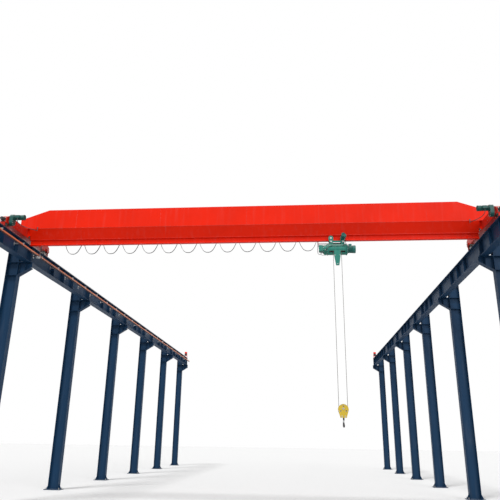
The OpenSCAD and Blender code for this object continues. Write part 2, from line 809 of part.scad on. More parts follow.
function unit(v) = v / norm(v);
function side_of(p, i) =
    let (a = p[max(0, i - 1)], b = p[min(len(p) - 1, i + 1)], d = unit(b - a)) [-d[1], d[0]];

module festoon_cable() {
    path = cable_points();
    upper = [for (i = [0 : len(path) - 1]) path[i] + side_of(path, i) * cable_t / 2];
    lower = [for (i = [len(path) - 1 : -1 : 0]) path[i] - side_of(path, i) * cable_t / 2];
    color(rubber_black) translate([0, bridge_y + track_y, 0])
        xz_plate(cable_w) polygon(concat(upper, lower));
}

// TROLLEY: four side plates, tied in pairs under the beam, carry the drum housing
plate_foot = axis_z + casing_d / 2 - 18;
lug_top = beam_under - 80;

module trolley_plate(x, s) {
    w = 170;
    neck = 120;
    y = s * (side_plate_in + side_plate_t / 2);
    translate([x, y, 0]) xz_plate(side_plate_t) difference() {
        union() {
            polygon([
                [-w / 2, trolley_axle_z - 40], [w / 2, trolley_axle_z - 40],
                [neck / 2, beam_under - 40], [neck / 2, plate_foot], [-neck / 2, plate_foot],
                [-neck / 2, beam_under - 40]]);
            translate([0, trolley_axle_z]) circle(r = w / 2);
            translate([-w / 2, trolley_axle_z - 40]) square([w, 40]);
        }
        translate([0, trolley_axle_z]) circle(r = 15 + bearing_gap);
    }
}

module trolley_frame() {
    color(hoist_green) translate([hoist_x, bridge_y, 0]) {
        for (x = [-trolley_base / 2, trolley_base / 2]) {
            for (s = [-1, 1]) trolley_plate(x, s);
            // tie bars between the near and far plates
            y_rod(-side_plate_in, side_plate_in, x, beam_under - 55, 20);
        }
        // spacer bars along the trolley, outside the plates
        for (s = [-1, 1]) {
            y = s > 0 ? side_plate_in + side_plate_t : -side_plate_in - side_plate_t - 10;
            block([-trolley_base / 2 - 60, y, beam_under - 85],
                [trolley_base / 2 + 60, y + 10, beam_under - 25]);
        }
    }
}

module trolley_wheel(x, s) {
    tread_in = hoist_web_t / 2 + 12;
    rim_in = hoist_beam_w / 2 + 5;
    rim_out = rim_in + 12;
    r = trolley_wheel_d / 2;
    axle_end = side_plate_in + side_plate_t + 4;
    color(bare_steel) translate([hoist_x + x, bridge_y, trolley_axle_z])
        mirror([0, s > 0 ? 0 : 1, 0]) {
            y_rod(tread_in, rim_in, 0, 0, r);
            y_rod(rim_in, rim_out, 0, 0, r + 12);
            y_rod(rim_out, axle_end, 0, 0, 15);
        }
}

// TROLLEY DRIVE: gear case and motor on the near right side plate
module trolley_drive() {
    out = -side_plate_in - side_plate_t;
    case_t = 70;
    color(hoist_green) translate([hoist_x + trolley_base / 2, bridge_y, 0]) {
        difference() {
            y_rod(out - case_t, out, 0, trolley_axle_z, 80);
            y_rod(out - 10, out + 1, 0, trolley_axle_z, 22);
        }
        translate([0, out - case_t, trolley_axle_z]) rotate([0, 0, 90]) motor(250, 62);
    }
}

// DRUM HOUSING: a shell with a rope slot below, two end plates and four lugs
slot_w = 50;
casing_half = casing_l / 2;
end_plate_t = 15;
drum_shaft_d = 60;

module drum_housing() {
    slot_from = -casing_half + 60;
    slot_to = casing_half - 60;
    color(hoist_green) translate([hoist_x, bridge_y, 0]) {
        difference() {
            x_rod(-casing_half, casing_half, 0, axis_z, casing_d / 2);
            x_rod(-casing_half + end_plate_t, casing_half - end_plate_t, 0, axis_z,
                casing_d / 2 - casing_t);
            block([slot_from, fall_y - slot_w / 2, axis_z - casing_d],
                [slot_to, fall_y + slot_w / 2, axis_z]);
            x_rod(-casing_half - 1, casing_half + 1, 0, axis_z, drum_shaft_d / 2 + bearing_gap);
        }
        // bolting rims at both ends of the shell
        for (s = [-1, 1]) difference() {
            x_rod(s > 0 ? casing_half - 20 : -casing_half, s > 0 ? casing_half : -casing_half + 20,
                0, axis_z, casing_d / 2 + 14);
            x_rod(-casing_half - 1, casing_half + 1, 0, axis_z, casing_d / 2 - 1);
        }
        // lugs between the side plates
        for (x = [-trolley_base / 2, trolley_base / 2]) difference() {
            block([x - 35, -side_plate_in, axis_z + casing_d / 2 - 60], [x + 35, side_plate_in, lug_top]);
            x_rod(-casing_half, casing_half, 0, axis_z, casing_d / 2 - 1);
        }
    }
}

// ROPE DRUM: a grooved barrel between two flanges, on stub shafts
module rope_drum() {
    half = casing_half - end_plate_t - 8;
    barrel = half - 30;
    turns = floor(barrel / groove_pitch - 0.5);
    wall = 22;
    bore = drum_d / 2 - wall;
    color(bare_steel) translate([hoist_x, bridge_y, axis_z]) {
        rotate([0, 90, 0]) rotate_extrude() polygon(concat(
            [[20, -half + 20], [20, -half], [drum_d / 2 + 20, -half], [drum_d / 2 + 20, -half + 14],
                [drum_d / 2, -half + 30]],
            [for (i = [-turns : turns], k = [-1 : 0])
                [drum_d / 2 - (k < 0 ? 0 : groove_depth), (i + k / 2) * groove_pitch]],
            [[drum_d / 2, (turns + 0.5) * groove_pitch], [drum_d / 2, half - 30],
                [drum_d / 2 + 20, half - 14], [drum_d / 2 + 20, half],
                [20, half], [20, half - 20], [bore, half - 20], [bore, -half + 20]]));
        for (s = [-1, 1])
            x_rod(s > 0 ? half - 20 : -casing_half + 1, s > 0 ? casing_half - 1 : -half + 20,
                0, 0, drum_shaft_d / 2);
    }
}

// HOIST MOTOR: the large finned motor at the right end of the drum housing
module hoist_motor() {
    flange_t = 30;
    flange_r = 165;
    barrel_end = 200;
    barrel_r = 118;
    fins = 10;
    fin_pitch = 16;
    fin_t = 8;
    fin_r = 132;
    cowl_end = 262;
    cowl_r = 138;
    nose_t = 12;
    nose_r = 96;
    // terminal box on top of the barrel
    box_size = [100, 120, 86];
    box_from = [70, -box_size[1] / 2, 90];
    color(hoist_green) translate([hoist_x + casing_half, bridge_y, axis_z]) {
        x_rod(0, flange_t, 0, 0, flange_r);
        x_rod(flange_t, barrel_end, 0, 0, barrel_r);
        for (i = [0 : fins - 1]) {
            x = flange_t + fin_t + i * fin_pitch;
            x_rod(x, x + fin_t, 0, 0, fin_r);
        }
        x_rod(barrel_end, cowl_end, 0, 0, cowl_r);
        x_rod(cowl_end, cowl_end + nose_t, 0, 0, nose_r);
        block(box_from, box_from + box_size);
    }
}

gearbox_l = 150;

// HOIST GEARBOX: a stepped case at the left end of the drum housing
module hoist_gearbox() {
    flange_t = 36;
    flange_r = 178;
    case_l = 128;
    case_r = 158;
    lid_r = 128;
    foot_half = 62;
    stud_l = 10;
    stud_r = 9;
    stud_circle = 168;
    color(hoist_green) translate([hoist_x - casing_half, bridge_y, axis_z]) {
        x_rod(-flange_t, 0, 0, 0, flange_r);
        x_rod(-case_l, -flange_t, 0, 0, case_r);
        x_rod(-gearbox_l, -case_l, 0, 0, lid_r);
        // foot of the case, below the drum's centre line
        block([18 - case_l, -foot_half, -flange_r - 10], [-20, foot_half, -120]);
        for (a = [0 : 60 : 300])
            x_rod(-flange_t - stud_l, -flange_t, stud_circle * cos(a), stud_circle * sin(a), stud_r);
    }
}

// HOIST CONTROL BOX: the contactor box outside the gearbox
module hoist_control_box() {
    deep = 130;
    half = 120;
    low = -70;
    high = 130;
    rim = 20;
    recess = 6;
    gland_r = 16;
    gland_h = 22;
    gland_pitch = 60;
    color(hoist_green) translate([hoist_x - casing_half - gearbox_l, bridge_y, axis_z]) {
        difference() {
            block([-deep, -half, low], [0, half, high]);
            block([-deep - 1, rim - half, low + rim - 2], [recess - deep, half - rim, high - rim + 2]);
        }
        // lid, set back in its rim
        block([2 - deep, rim + 4 - half, low + rim + 2], [recess + 2 - deep, half - rim - 4, high - rim - 2]);
        for (y = [-gland_pitch, 0, gland_pitch])
            translate([-deep / 2, y, low - gland_h]) cylinder(r = gland_r, h = gland_h);
    }
}

// ROPE GUIDE: two tapered cheeks under the housing with a roller at the foot
guide_top = axis_z - 150;
guide_foot = axis_z - casing_d / 2 - guide_drop;

module rope_guide() {
    top_half = fall_x - 30;
    foot_half = 55;
    cheek_t = 8;
    half_w = 34;
    color(hoist_green) translate([hoist_x, bridge_y + fall_y, 0]) {
        for (s = [-1, 1]) translate([0, s * (half_w - cheek_t / 2), 0]) difference() {
            xz_plate(cheek_t) polygon([
                [-top_half, axis_z - 60], [top_half, axis_z - 60], [top_half, guide_top - 120],
                [foot_half, guide_foot], [-foot_half, guide_foot], [-top_half, guide_top - 120]]);
            translate([0, -fall_y - s * (half_w - cheek_t / 2), 0])
                x_rod(-casing_half, casing_half, 0, axis_z, casing_d / 2 + gap);
        }
        // spacers and the foot roller
        for (x = [-top_half + 20, top_half - 20]) y_rod(-half_w + cheek_t, half_w - cheek_t, x,
            guide_top - 110, 10);
        y_rod(-half_w + cheek_t, half_w - cheek_t, 0, guide_foot + 40, 24);
    }
}

// TOW ARM: from the trolley's far side up to the last cable carrier
module festoon_tow_arm() {
    y0 = bridge_y + side_plate_in + side_plate_t + 10;
    y1 = bridge_y + track_y;
    color(bare_steel) {
        block([tow_x - 16, y0, beam_under - 72], [hoist_x - trolley_base / 2 + 40, y0 + 8, beam_under - 38]);
        block([tow_x - 16, y0 + 8, beam_under - 72], [tow_x + 16, y1 + 52, beam_under - 64]);
        block([tow_x - 16, y1 + 44, beam_under - 64], [tow_x + 16, y1 + 52, saddle_z + 20]);
        // the towed carrier
        block([tow_x - 16, y1 + cable_w / 2 + 7, saddle_z - 20], [tow_x + 16, y1 + 44, saddle_z + 20]);
        translate([tow_x, y1, 0]) carrier_body();
    }
}

// ROPE FALLS: the two falls from the drum and the housing to the hook block
module rope_falls() {
    top = axis_z;
    color([0.3, 0.3, 0.31]) for (x = [-fall_x, fall_x])
        translate([hoist_x + x, bridge_y + fall_y, hook_z]) cylinder(d = rope_d, h = top - hook_z);
}

// HOOK BLOCK: two rounded cheeks round the sheave and a crosshead below
cheek_gap = 70;
cheek_t = 14;
block_r = sheave_d / 2 + 25;
cross_z = -220;
cross_h = 70;
nut_h = 30;
shank_d = 50;

module block_cheek(s) {
    foot = 95;
    translate([0, s * (cheek_gap + cheek_t) / 2, 0]) xz_plate(cheek_t) difference() {
        union() {
            circle(r = block_r);
            polygon([[-block_r * 0.94, -block_r * 0.34], [block_r * 0.94, -block_r * 0.34],
                [foot, cross_z - cross_h / 2], [-foot, cross_z - cross_h / 2]]);
        }
        circle(r = 20 + bearing_gap);
        // three round openings, which show the rim of the sheave
        for (a = [90, 210, 330]) translate([98 * cos(a), 98 * sin(a)]) circle(r = 24);
    }
}

module hook_block() {
    color(block_yellow) translate([hoist_x, bridge_y + fall_y, hook_z]) {
        for (s = [-1, 1]) block_cheek(s);
        difference() {
            block([-80, -cheek_gap / 2, cross_z - cross_h / 2], [80, cheek_gap / 2, cross_z + cross_h / 2]);
            translate([0, 0, cross_z - cross_h]) cylinder(d = shank_d + 2 * bearing_gap, h = 2 * cross_h);
        }
        // rope guards over the sheave, clear of the falls
        for (a = [70, 110, -20, 200]) translate([(block_r - 7) * cos(a), 0, (block_r - 7) * sin(a)])
            y_rod(-cheek_gap / 2, cheek_gap / 2, 0, 0, 5);
    }
}

module hook_sheave() {
    r = sheave_d / 2;
    half = 27;
    color(bare_steel) translate([hoist_x, bridge_y + fall_y, hook_z]) {
        rotate([90, 0, 0]) rotate_extrude() polygon([
            [19, -half], [r * 0.35, -half], [r * 0.35, -12], [r * 0.78, -12], [r + 4, -half],
            [r + 8, -half + 6], [r - rope_d / 2 - gap, -5], [r - rope_d / 2 - gap, 5],
            [r + 8, half - 6], [r + 4, half], [r * 0.78, 12], [r * 0.35, 12], [r * 0.35, half],
            [19, half]]);
        y_rod(-cheek_gap / 2 - cheek_t - 6, cheek_gap / 2 + cheek_t + 6, 0, 0, 20);
    }
}

// HOOK: shank with its nut, and a forged hook swept round the throat in the YZ plane
hook_throat_r = 46;
hook_drop = 210;
hook_sides = 16;
neck_rise = 125;
tip_angle = -204;
neck_angle = 58;

// depth of the hook's section, as a share of the throat's radius, at each angle round it
function hook_depth(a) = hook_throat_r * lookup(a, [[-204, 0.62], [-180, 0.92], [-135, 1.34],
    [-90, 1.62], [-45, 1.60], [0, 1.40], [58, 1.12]]);
function arc_point(a) = (hook_throat_r + hook_depth(a) / 2) * [cos(a), sin(a)];
function along(a) = [-sin(a), cos(a)];
function bezier(a, b, c, d, t) =
    pow(1 - t, 3) * a + 3 * pow(1 - t, 2) * t * b + 3 * (1 - t) * t * t * c + t * t * t * d;

// one ring of the sweep: centre in YZ, direction of travel, half depth and half width
function hook_ring(centre, dir, deep, wide) = [for (k = [0 : hook_sides - 1])
    let (a = k * 360 / hook_sides, r = deep * cos(a))
    [wide * sin(a), centre[0] + r * dir[1], centre[1] - r * dir[0]]];

module forged_hook() {
    arc_steps = 24;
    neck_steps = 6;
    tip_steps = 3;
    // how far the neck's curve carries on before it turns
    lean = 44;
    // the section's half width, as a share of its half depth
    wide = 0.85;
    start = arc_point(neck_angle);
    tip_half = hook_depth(tip_angle) / 2;
    rings = concat(
        // rounded nose of the tip
        [for (i = [0 : tip_steps - 1]) let (a = 12 + i * 78 / tip_steps)
            hook_ring(arc_point(tip_angle) - along(tip_angle) * tip_half * 0.8 * cos(a),
                along(tip_angle), tip_half * sin(a), tip_half * wide * sin(a))],
        [for (i = [0 : arc_steps])
            let (a = tip_angle + i * (neck_angle - tip_angle) / arc_steps, d = hook_depth(a) / 2)
            hook_ring(arc_point(a), along(a), d, d * wide)],
        // the neck, from the back of the bowl up to the shank
        [for (i = [1 : neck_steps]) let (t = i / neck_steps, e = [0, neck_rise],
                b = start + along(neck_angle) * lean, c = e - [0, lean],
                at_t = bezier(start, b, c, e, t), before = bezier(start, b, c, e, t - 0.02),
                d = hook_depth(neck_angle) / 2 * (1 - t) + (shank_d / 2 - 1) * t)
            hook_ring(at_t, unit(at_t - before), d, d * (wide + (1 - wide) * t))]);
    n = hook_sides;
    last = len(rings) - 1;
    polyhedron(
        points = [for (r = rings) each r],
        faces = concat(
            [[for (k = [n - 1 : -1 : 0]) k]],
            [for (i = [0 : last - 1], k = [0 : n - 1])
                [i * n + k, i * n + (k + 1) % n, (i + 1) * n + (k + 1) % n, (i + 1) * n + k]],
            [[for (k = [0 : n - 1]) last * n + k]]));
}

module hook() {
    bowl_z = cross_z - hook_drop;
    shank_foot = bowl_z + neck_rise - weld_lap;
    color([0.2, 0.2, 0.22]) translate([hoist_x, bridge_y + fall_y, hook_z]) {
        // nut above the crosshead, shank through it
        translate([0, 0, cross_z + cross_h / 2 + gap]) cylinder(r = shank_d / 2 + 7, h = nut_h, $fn = 6);
        translate([0, 0, shank_foot]) cylinder(d = shank_d, h = cross_z + cross_h / 2 + 1 - shank_foot);
        translate([0, 0, bowl_z]) forged_hook();
    }
}

columns(-1);  // columns_left
columns(1);  // columns_right
runway_beams(-1);  // runway_beams_left
runway_beams(1);  // runway_beams_right
crane_rail(-1);  // rail_left
crane_rail(1);  // rail_right
end_stops();
conductor_tube();
conductor_brackets();
girder_box();
hoist_beam();
end_carriage(-1);  // end_carriage_left
end_carriage(1);  // end_carriage_right
carriage_buffers();
travel_drive(-1);  // travel_drive_left
travel_drive(1);  // travel_drive_right
festoon_track();
festoon_track_arms();
festoon_cable();
control_cabinet();
current_collector();
travel_wheel(-1, -1);  // wheel_left_near
travel_wheel(-1, 1);  // wheel_left_far
travel_wheel(1, -1);  // wheel_right_near
travel_wheel(1, 1);  // wheel_right_far
trolley_frame();
trolley_drive();
drum_housing();
hoist_motor();
hoist_gearbox();
hoist_control_box();
rope_guide();
festoon_tow_arm();
rope_falls();
rope_drum();
trolley_wheel(-trolley_base / 2, -1);  // trolley_wheel_1
trolley_wheel(-trolley_base / 2, 1);  // trolley_wheel_2
trolley_wheel(trolley_base / 2, -1);  // trolley_wheel_3
trolley_wheel(trolley_base / 2, 1);  // trolley_wheel_4
hook_block();
hook_sheave();
hook();
for (i = [1 : loops - 1])
    cable_carrier(i);
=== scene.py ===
import math
import bpy
import bmesh
from mathutils import Matrix, Vector


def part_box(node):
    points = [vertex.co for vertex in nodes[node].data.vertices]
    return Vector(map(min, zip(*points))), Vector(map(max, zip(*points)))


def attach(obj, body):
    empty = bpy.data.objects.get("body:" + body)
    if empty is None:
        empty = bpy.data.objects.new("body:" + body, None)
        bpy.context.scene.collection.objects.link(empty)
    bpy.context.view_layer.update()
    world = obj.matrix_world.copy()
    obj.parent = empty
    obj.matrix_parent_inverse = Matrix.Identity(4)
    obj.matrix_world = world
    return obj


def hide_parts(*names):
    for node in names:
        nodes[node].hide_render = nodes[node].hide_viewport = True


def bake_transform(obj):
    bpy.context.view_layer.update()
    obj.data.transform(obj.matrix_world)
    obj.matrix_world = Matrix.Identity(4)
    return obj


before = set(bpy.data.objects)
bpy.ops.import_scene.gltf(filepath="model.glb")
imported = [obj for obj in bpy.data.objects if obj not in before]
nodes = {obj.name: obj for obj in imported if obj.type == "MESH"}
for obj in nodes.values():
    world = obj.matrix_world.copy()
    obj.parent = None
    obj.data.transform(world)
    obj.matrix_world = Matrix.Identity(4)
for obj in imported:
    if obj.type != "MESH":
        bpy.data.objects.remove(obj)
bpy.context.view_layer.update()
print("frame loaded:", len(nodes), "nodes")

both = (-1, 1)
corners = [(a, b) for a in both for b in both]
# widths of the rounded edges, by how heavy the part is
hairEdge, thinEdge, smallEdge, plateEdge, caseEdge = 0.001, 0.0015, 0.002, 0.003, 0.004


# Small helpers for modelling by hand

def deselectAll():
    if bpy.context.object and bpy.context.object.mode != 'OBJECT':
        bpy.ops.object.mode_set(mode='OBJECT')
    bpy.ops.object.select_all(action='DESELECT')


def pick(ob):
    deselectAll()
    ob.select_set(True)
    bpy.context.view_layer.objects.active = ob
    return ob


def newPiece(name):
    ob = bpy.context.object
    ob.name = name
    ob.data.name = name
    return ob


def link(name, data):
    ob = bpy.data.objects.new(name, data)
    bpy.context.scene.collection.objects.link(ob)
    return ob


def applyPlace(ob):
    pick(ob)
    bpy.ops.object.transform_apply(location=True, rotation=True, scale=True)
    return ob


def addModifier(ob, kind, **values):
    pick(ob)
    bpy.ops.object.modifier_add(type=kind)
    m = ob.modifiers[-1]
    for k, v in values.items():
        setattr(m, k, v)
    bpy.ops.object.modifier_apply(modifier=m.name)
    return ob


def bevelAll(ob, width, segments=2, angle=40):
    return addModifier(ob, 'BEVEL', width=width, segments=segments, limit_method='ANGLE',
                       angle_limit=math.radians(angle))


def smooth(ob, angle=35):
    pick(ob)
    bpy.ops.object.shade_smooth_by_angle(angle=math.radians(angle))
    return ob


def block(low, high, edge=0.0):
    low, high = Vector(low), Vector(high)
    deselectAll()
    bpy.ops.mesh.primitive_cube_add(size=1, location=(low + high) / 2)
    ob = newPiece('block')
    ob.scale = high - low
    applyPlace(ob)
    if edge:
        bevelAll(ob, edge)
    return ob


def rod(start, end, radius, sides=24, edge=0.0):
    start, end = Vector(start), Vector(end)
    deselectAll()
    bpy.ops.mesh.primitive_cylinder_add(vertices=sides, radius=radius, depth=(end - start).length,
                                        location=(start + end) / 2)
    ob = newPiece('rod')
    ob.rotation_mode = 'QUATERNION'
    ob.rotation_quaternion = (end - start).to_track_quat('Z', 'Y')
    applyPlace(ob)
    if edge:
        bevelAll(ob, edge, 2, 50)
    return smooth(ob)


def rodUp(low, high, radius, sides=24, edge=0.0):
    return rod((0, 0, low), (0, 0, high), radius, sides, edge)


def stub(foot, reach, radius, sides=6, edge=0.0):
    return rod(foot, Vector(foot) + Vector(reach), radius, sides, edge)


def joinAll(obs, name):
    deselectAll()
    for o in obs:
        o.select_set(True)
    bpy.context.view_layer.objects.active = obs[0]
    bpy.ops.object.join()
    return newPiece(name)


def copyTo(source, name, places):
    # one modelled shape, copied to each place, each copy with its own mesh
    copies = []
    for m in places:
        c = source.copy()
        c.data = source.data.copy()
        c.data.transform(m)
        bpy.context.scene.collection.objects.link(c)
        copies.append(c)
    bpy.data.objects.remove(source)
    return joinAll(copies, name)


def choose(ob, kind, test, clear=False):
    # edit mode, with the faces or edges chosen that pass the test
    if ob.mode != 'EDIT':
        pick(ob)
        bpy.ops.object.mode_set(mode='EDIT')
    if clear:
        bpy.ops.mesh.select_all(action='DESELECT')
    bm = bmesh.from_edit_mesh(ob.data)
    for part in getattr(bm, kind):
        part.select_set(test(part))
    bmesh.update_edit_mesh(ob.data)


def extrudeBy(x, y, z):
    bpy.ops.mesh.extrude_region_move(TRANSFORM_OT_translate={'value': (x, y, z)})


def leaveEdit():
    bpy.ops.object.mode_set(mode='OBJECT')


def at(x, y, z):
    return Matrix.Translation((x, y, z))


def turned(axis, degrees):
    return Matrix.Rotation(math.radians(degrees), 4, axis)


def facingX(s, x, y, z):
    # a place whose own +Z looks along X, to the side that s gives
    return at(x, y, z) @ turned('Y', 90 * s)


def facingY(s, x, y, z):
    return at(x, y, z) @ turned('X', -90 * s)


def ringOf(radius, first, count):
    # points on a circle, evenly apart, the first at an angle in degrees
    angles = [math.radians(first + 360 * i / count) for i in range(count)]
    return [(radius * math.cos(a), radius * math.sin(a)) for a in angles]


def tube(points, radius, steps=6, sides=10):
    # a pipe or cable along a smooth curve through the points
    curve = bpy.data.curves.new('tube', 'CURVE')
    curve.dimensions = '3D'
    curve.bevel_depth = radius
    curve.bevel_resolution = max(1, sides // 4)
    curve.resolution_u = steps
    curve.use_fill_caps = True
    spline = curve.splines.new('BEZIER')
    spline.bezier_points.add(len(points) - 1)
    for p, co in zip(spline.bezier_points, points):
        p.co = co
        p.handle_left_type = p.handle_right_type = 'AUTO'
    pick(link('tube', curve))
    bpy.ops.object.convert(target='MESH')
    return smooth(newPiece('tube'), 60)


# Shader helpers and groups

def newGroup(name, inputs, outputs):
    tree = bpy.data.node_groups.new(name, 'ShaderNodeTree')
    for label, kind, value in inputs:
        s = tree.interface.new_socket(name=label, in_out='INPUT', socket_type=kind)
        s.default_value = value
    for label, kind in outputs:
        tree.interface.new_socket(name=label, in_out='OUTPUT', socket_type=kind)
    return tree, tree.nodes.new('NodeGroupInput'), tree.nodes.new('NodeGroupOutput')


def put(tree, kind, **values):
    n = tree.nodes.new(kind)
    for k, v in values.items():
        n.inputs[k].default_value = v
    return n


def feed(tree, socket, value):
    if isinstance(value, bpy.types.NodeSocket):
        tree.links.new(value, socket)
    else:
        socket.default_value = value


def mixColour(tree, factor, a, b, blend='MIX'):
    m = tree.nodes.new('ShaderNodeMix')
    m.data_type = 'RGBA'
    m.blend_type = blend
    for i, value in ((0, factor), (6, a), (7, b)):
        feed(tree, m.inputs[i], value)
    return m.outputs[2]


def sums(tree, operation, a, b, clamp=False):
    m = tree.nodes.new('ShaderNodeMath')
    m.operation = operation
    m.use_clamp = clamp
    feed(tree, m.inputs[0], a)
    feed(tree, m.inputs[1], b)
    return m.outputs[0]


def spread(tree, value, low, high, outLow=0.0, outHigh=1.0):
    span = {'From Min': low, 'From Max': high, 'To Min': outLow, 'To Max': outHigh}
    m = put(tree, 'ShaderNodeMapRange', **span)
    tree.links.new(value, m.inputs['Value'])
    return m.outputs[0]


def placeIn(tree):
    return tree.nodes.new('ShaderNodeTexCoord').outputs['Object']


cloudRough = 0.55


def cloudAt(tree, place, scale, detail=3.0, stretch=(1, 1, 1)):
    m = put(tree, 'ShaderNodeMapping', Scale=stretch)
    tree.links.new(place, m.inputs['Vector'])
    n = put(tree, 'ShaderNodeTexNoise', Scale=scale, Detail=detail, Roughness=cloudRough)
    tree.links.new(m.outputs[0], n.inputs['Vector'])
    return n.outputs['Fac']


def surface(tree, shader, colour, rough, height=None, strength=0.0, distance=0.001):
    # colour and roughness, and a relief where there is one
    tree.links.new(colour, shader.inputs['Base Color'])
    tree.links.new(rough, shader.inputs['Roughness'])
    if height:
        bump = put(tree, 'ShaderNodeBump', Strength=strength, Distance=distance)
        tree.links.new(height, bump.inputs['Height'])
        tree.links.new(bump.outputs[0], shader.inputs['Normal'])


dustValues = dict(
    up=(0.35, 0.95), brokenScale=5.0, broken=(0.25, 0.7, 0.45, 1.0), streakScale=9.0,
    streakStretch=(1, 1, 0.07), streak=(0.52, 0.78), blotchScale=1.3, blotch=(0.5, 0.8), leastStreak=0.4,
    toneScale=0.8, tone=(0.3, 0.7), darker=(0.72, 0.72, 0.74, 1))


def makeDustGroup(v):
    # dust on faces that look up, run-down streaks and a few soft blotches
    tree, gin, gout = newGroup('shopDust', [
        ('Colour', 'NodeSocketColor', (0.5, 0.5, 0.5, 1)),
        ('Dust Colour', 'NodeSocketColor', (0.4, 0.37, 0.33, 1)), ('Dust', 'NodeSocketFloat', 0.5),
        ('Streaks', 'NodeSocketFloat', 0.3), ('Variation', 'NodeSocketFloat', 0.1)],
        [('Colour', 'NodeSocketColor'), ('Dust Mask', 'NodeSocketFloat')])
    place = placeIn(tree)
    up = tree.nodes.new('ShaderNodeSeparateXYZ')
    tree.links.new(tree.nodes.new('ShaderNodeNewGeometry').outputs['Normal'], up.inputs[0])
    broken = spread(tree, cloudAt(tree, place, v['brokenScale'], 4.0), *v['broken'])
    top = sums(tree, 'MULTIPLY', spread(tree, up.outputs['Z'], *v['up']), broken)
    streak = spread(tree, cloudAt(tree, place, v['streakScale'], 2.0, v['streakStretch']), *v['streak'])
    streak = sums(tree, 'MULTIPLY', streak, gin.outputs['Streaks'])
    blotch = spread(tree, cloudAt(tree, place, v['blotchScale'], 4.0), *v['blotch'])
    mask = sums(tree, 'MULTIPLY', top, gin.outputs['Dust'])
    runs = sums(tree, 'MULTIPLY', streak, spread(tree, blotch, 0, 1, v['leastStreak'], 1))
    mask = sums(tree, 'MAXIMUM', mask, runs)
    tone = spread(tree, cloudAt(tree, place, v['toneScale'], 5.0), *v['tone'])
    dark = mixColour(tree, 1.0, gin.outputs['Colour'], v['darker'], 'MULTIPLY')
    share = sums(tree, 'MULTIPLY', tone, gin.outputs['Variation'])
    toned = mixColour(tree, share, gin.outputs['Colour'], dark)
    tree.links.new(mixColour(tree, mask, toned, gin.outputs['Dust Colour']), gout.inputs['Colour'])
    tree.links.new(mask, gout.inputs['Dust Mask'])
    return tree


reliefValues = dict(
    waveScale=1.1, waveStretch=(1, 1, 1.6), waveHigh=12.0, roughScale=3.5, rough=(0.3, 0.7))


def makePaintGroup(v):
    # brush and spray relief of shop paint, with plate waviness at a large scale
    tree, gin, gout = newGroup('paintRelief', [
        ('Peel', 'NodeSocketFloat', 0.3), ('Wave', 'NodeSocketFloat', 0.5),
        ('Peel Scale', 'NodeSocketFloat', 220.0)],
        [('Height', 'NodeSocketFloat'), ('Rough', 'NodeSocketFloat')])
    place = placeIn(tree)
    fine = put(tree, 'ShaderNodeTexNoise', Detail=2.0)
    tree.links.new(place, fine.inputs['Vector'])
    tree.links.new(gin.outputs['Peel Scale'], fine.inputs['Scale'])
    wave = cloudAt(tree, place, v['waveScale'], 1.0, v['waveStretch'])
    wave = sums(tree, 'MULTIPLY', wave, sums(tree, 'MULTIPLY', gin.outputs['Wave'], v['waveHigh']))
    peel = sums(tree, 'MULTIPLY', fine.outputs['Fac'], gin.outputs['Peel'])
    tree.links.new(sums(tree, 'ADD', peel, wave), gout.inputs['Height'])
    rough = spread(tree, cloudAt(tree, place, v['roughScale'], 5.0), *v['rough'])
    tree.links.new(rough, gout.inputs['Rough'])
    return tree


dustGroup = makeDustGroup(dustValues)
paintGroup = makePaintGroup(reliefValues)


def startMaterial(name):
    m = bpy.data.materials.new(name)
    m.use_nodes = True
    return m, m.node_tree, m.node_tree.nodes['Principled BSDF']


def useGroup(tree, group, **values):
    n = tree.nodes.new('ShaderNodeGroup')
    n.node_tree = group
    for k, v in values.items():
        n.inputs[k.replace('_', ' ')].default_value = v
    return n


paintDefaults = dict(
    dustColour=(0.42, 0.39, 0.36), dust=0.5, streaks=0.2, variation=0.35, peel=0.3, wave=0.4,
    peelScale=220.0, bump=0.35, specular=0.5, smoother=0.06, rougher=0.08, dustRough=0.35)


def shopPaint(name, look):
    v = dict(paintDefaults, **look)
    m, tree, shader = startMaterial(name)
    dust = useGroup(tree, dustGroup, Colour=(*v['colour'], 1), Dust_Colour=(*v['dustColour'], 1),
                    Dust=v['dust'], Streaks=v['streaks'], Variation=v['variation'])
    relief = useGroup(tree, paintGroup, Peel=v['peel'], Wave=v['wave'], Peel_Scale=v['peelScale'])
    least, most = v['rough'] - v['smoother'], v['rough'] + v['rougher']
    rough = spread(tree, relief.outputs['Rough'], 0, 1, least, most)
    dusty = sums(tree, 'MULTIPLY', dust.outputs['Dust Mask'], v['dustRough'])
    rough = sums(tree, 'ADD', rough, dusty, True)
    surface(tree, shader, dust.outputs['Colour'], rough, relief.outputs['Height'], v['bump'])
    shader.inputs['Specular IOR Level'].default_value = v['specular']
    return m


steelDefaults = dict(
    grainScale=60.0, stretch=(1, 1, 1), patchScale=6.0, rust=0.4, rustColour=(0.20, 0.10, 0.06), metal=0.9,
    rustMetal=0.1, bump=0.25, relief=0.0006, grain=(0.3, 0.7), patch=(0.5, 0.72), smoother=0.08,
    rougher=0.12)


def rolledSteel(name, look):
    # mill steel: scratches, and brown rust in the sheltered parts
    v = dict(steelDefaults, **look)
    m, tree, shader = startMaterial(name)
    place = placeIn(tree)
    grain = cloudAt(tree, place, v['grainScale'], 4.0, v['stretch'])
    patch = cloudAt(tree, place, v['patchScale'], 5.0)
    rust = sums(tree, 'MULTIPLY', spread(tree, patch, *v['patch']), v['rust'])
    colour = mixColour(tree, spread(tree, grain, *v['grain']), (*v['dark'], 1), (*v['light'], 1))
    colour = mixColour(tree, rust, colour, (*v['rustColour'], 1))
    tree.links.new(spread(tree, rust, 0, 1, v['metal'], v['rustMetal']), shader.inputs['Metallic'])
    rough = spread(tree, grain, *v['grain'], v['rough'] - v['smoother'], v['rough'] + v['rougher'])
    surface(tree, shader, colour, rough, grain, v['bump'], v['relief'])
    return m


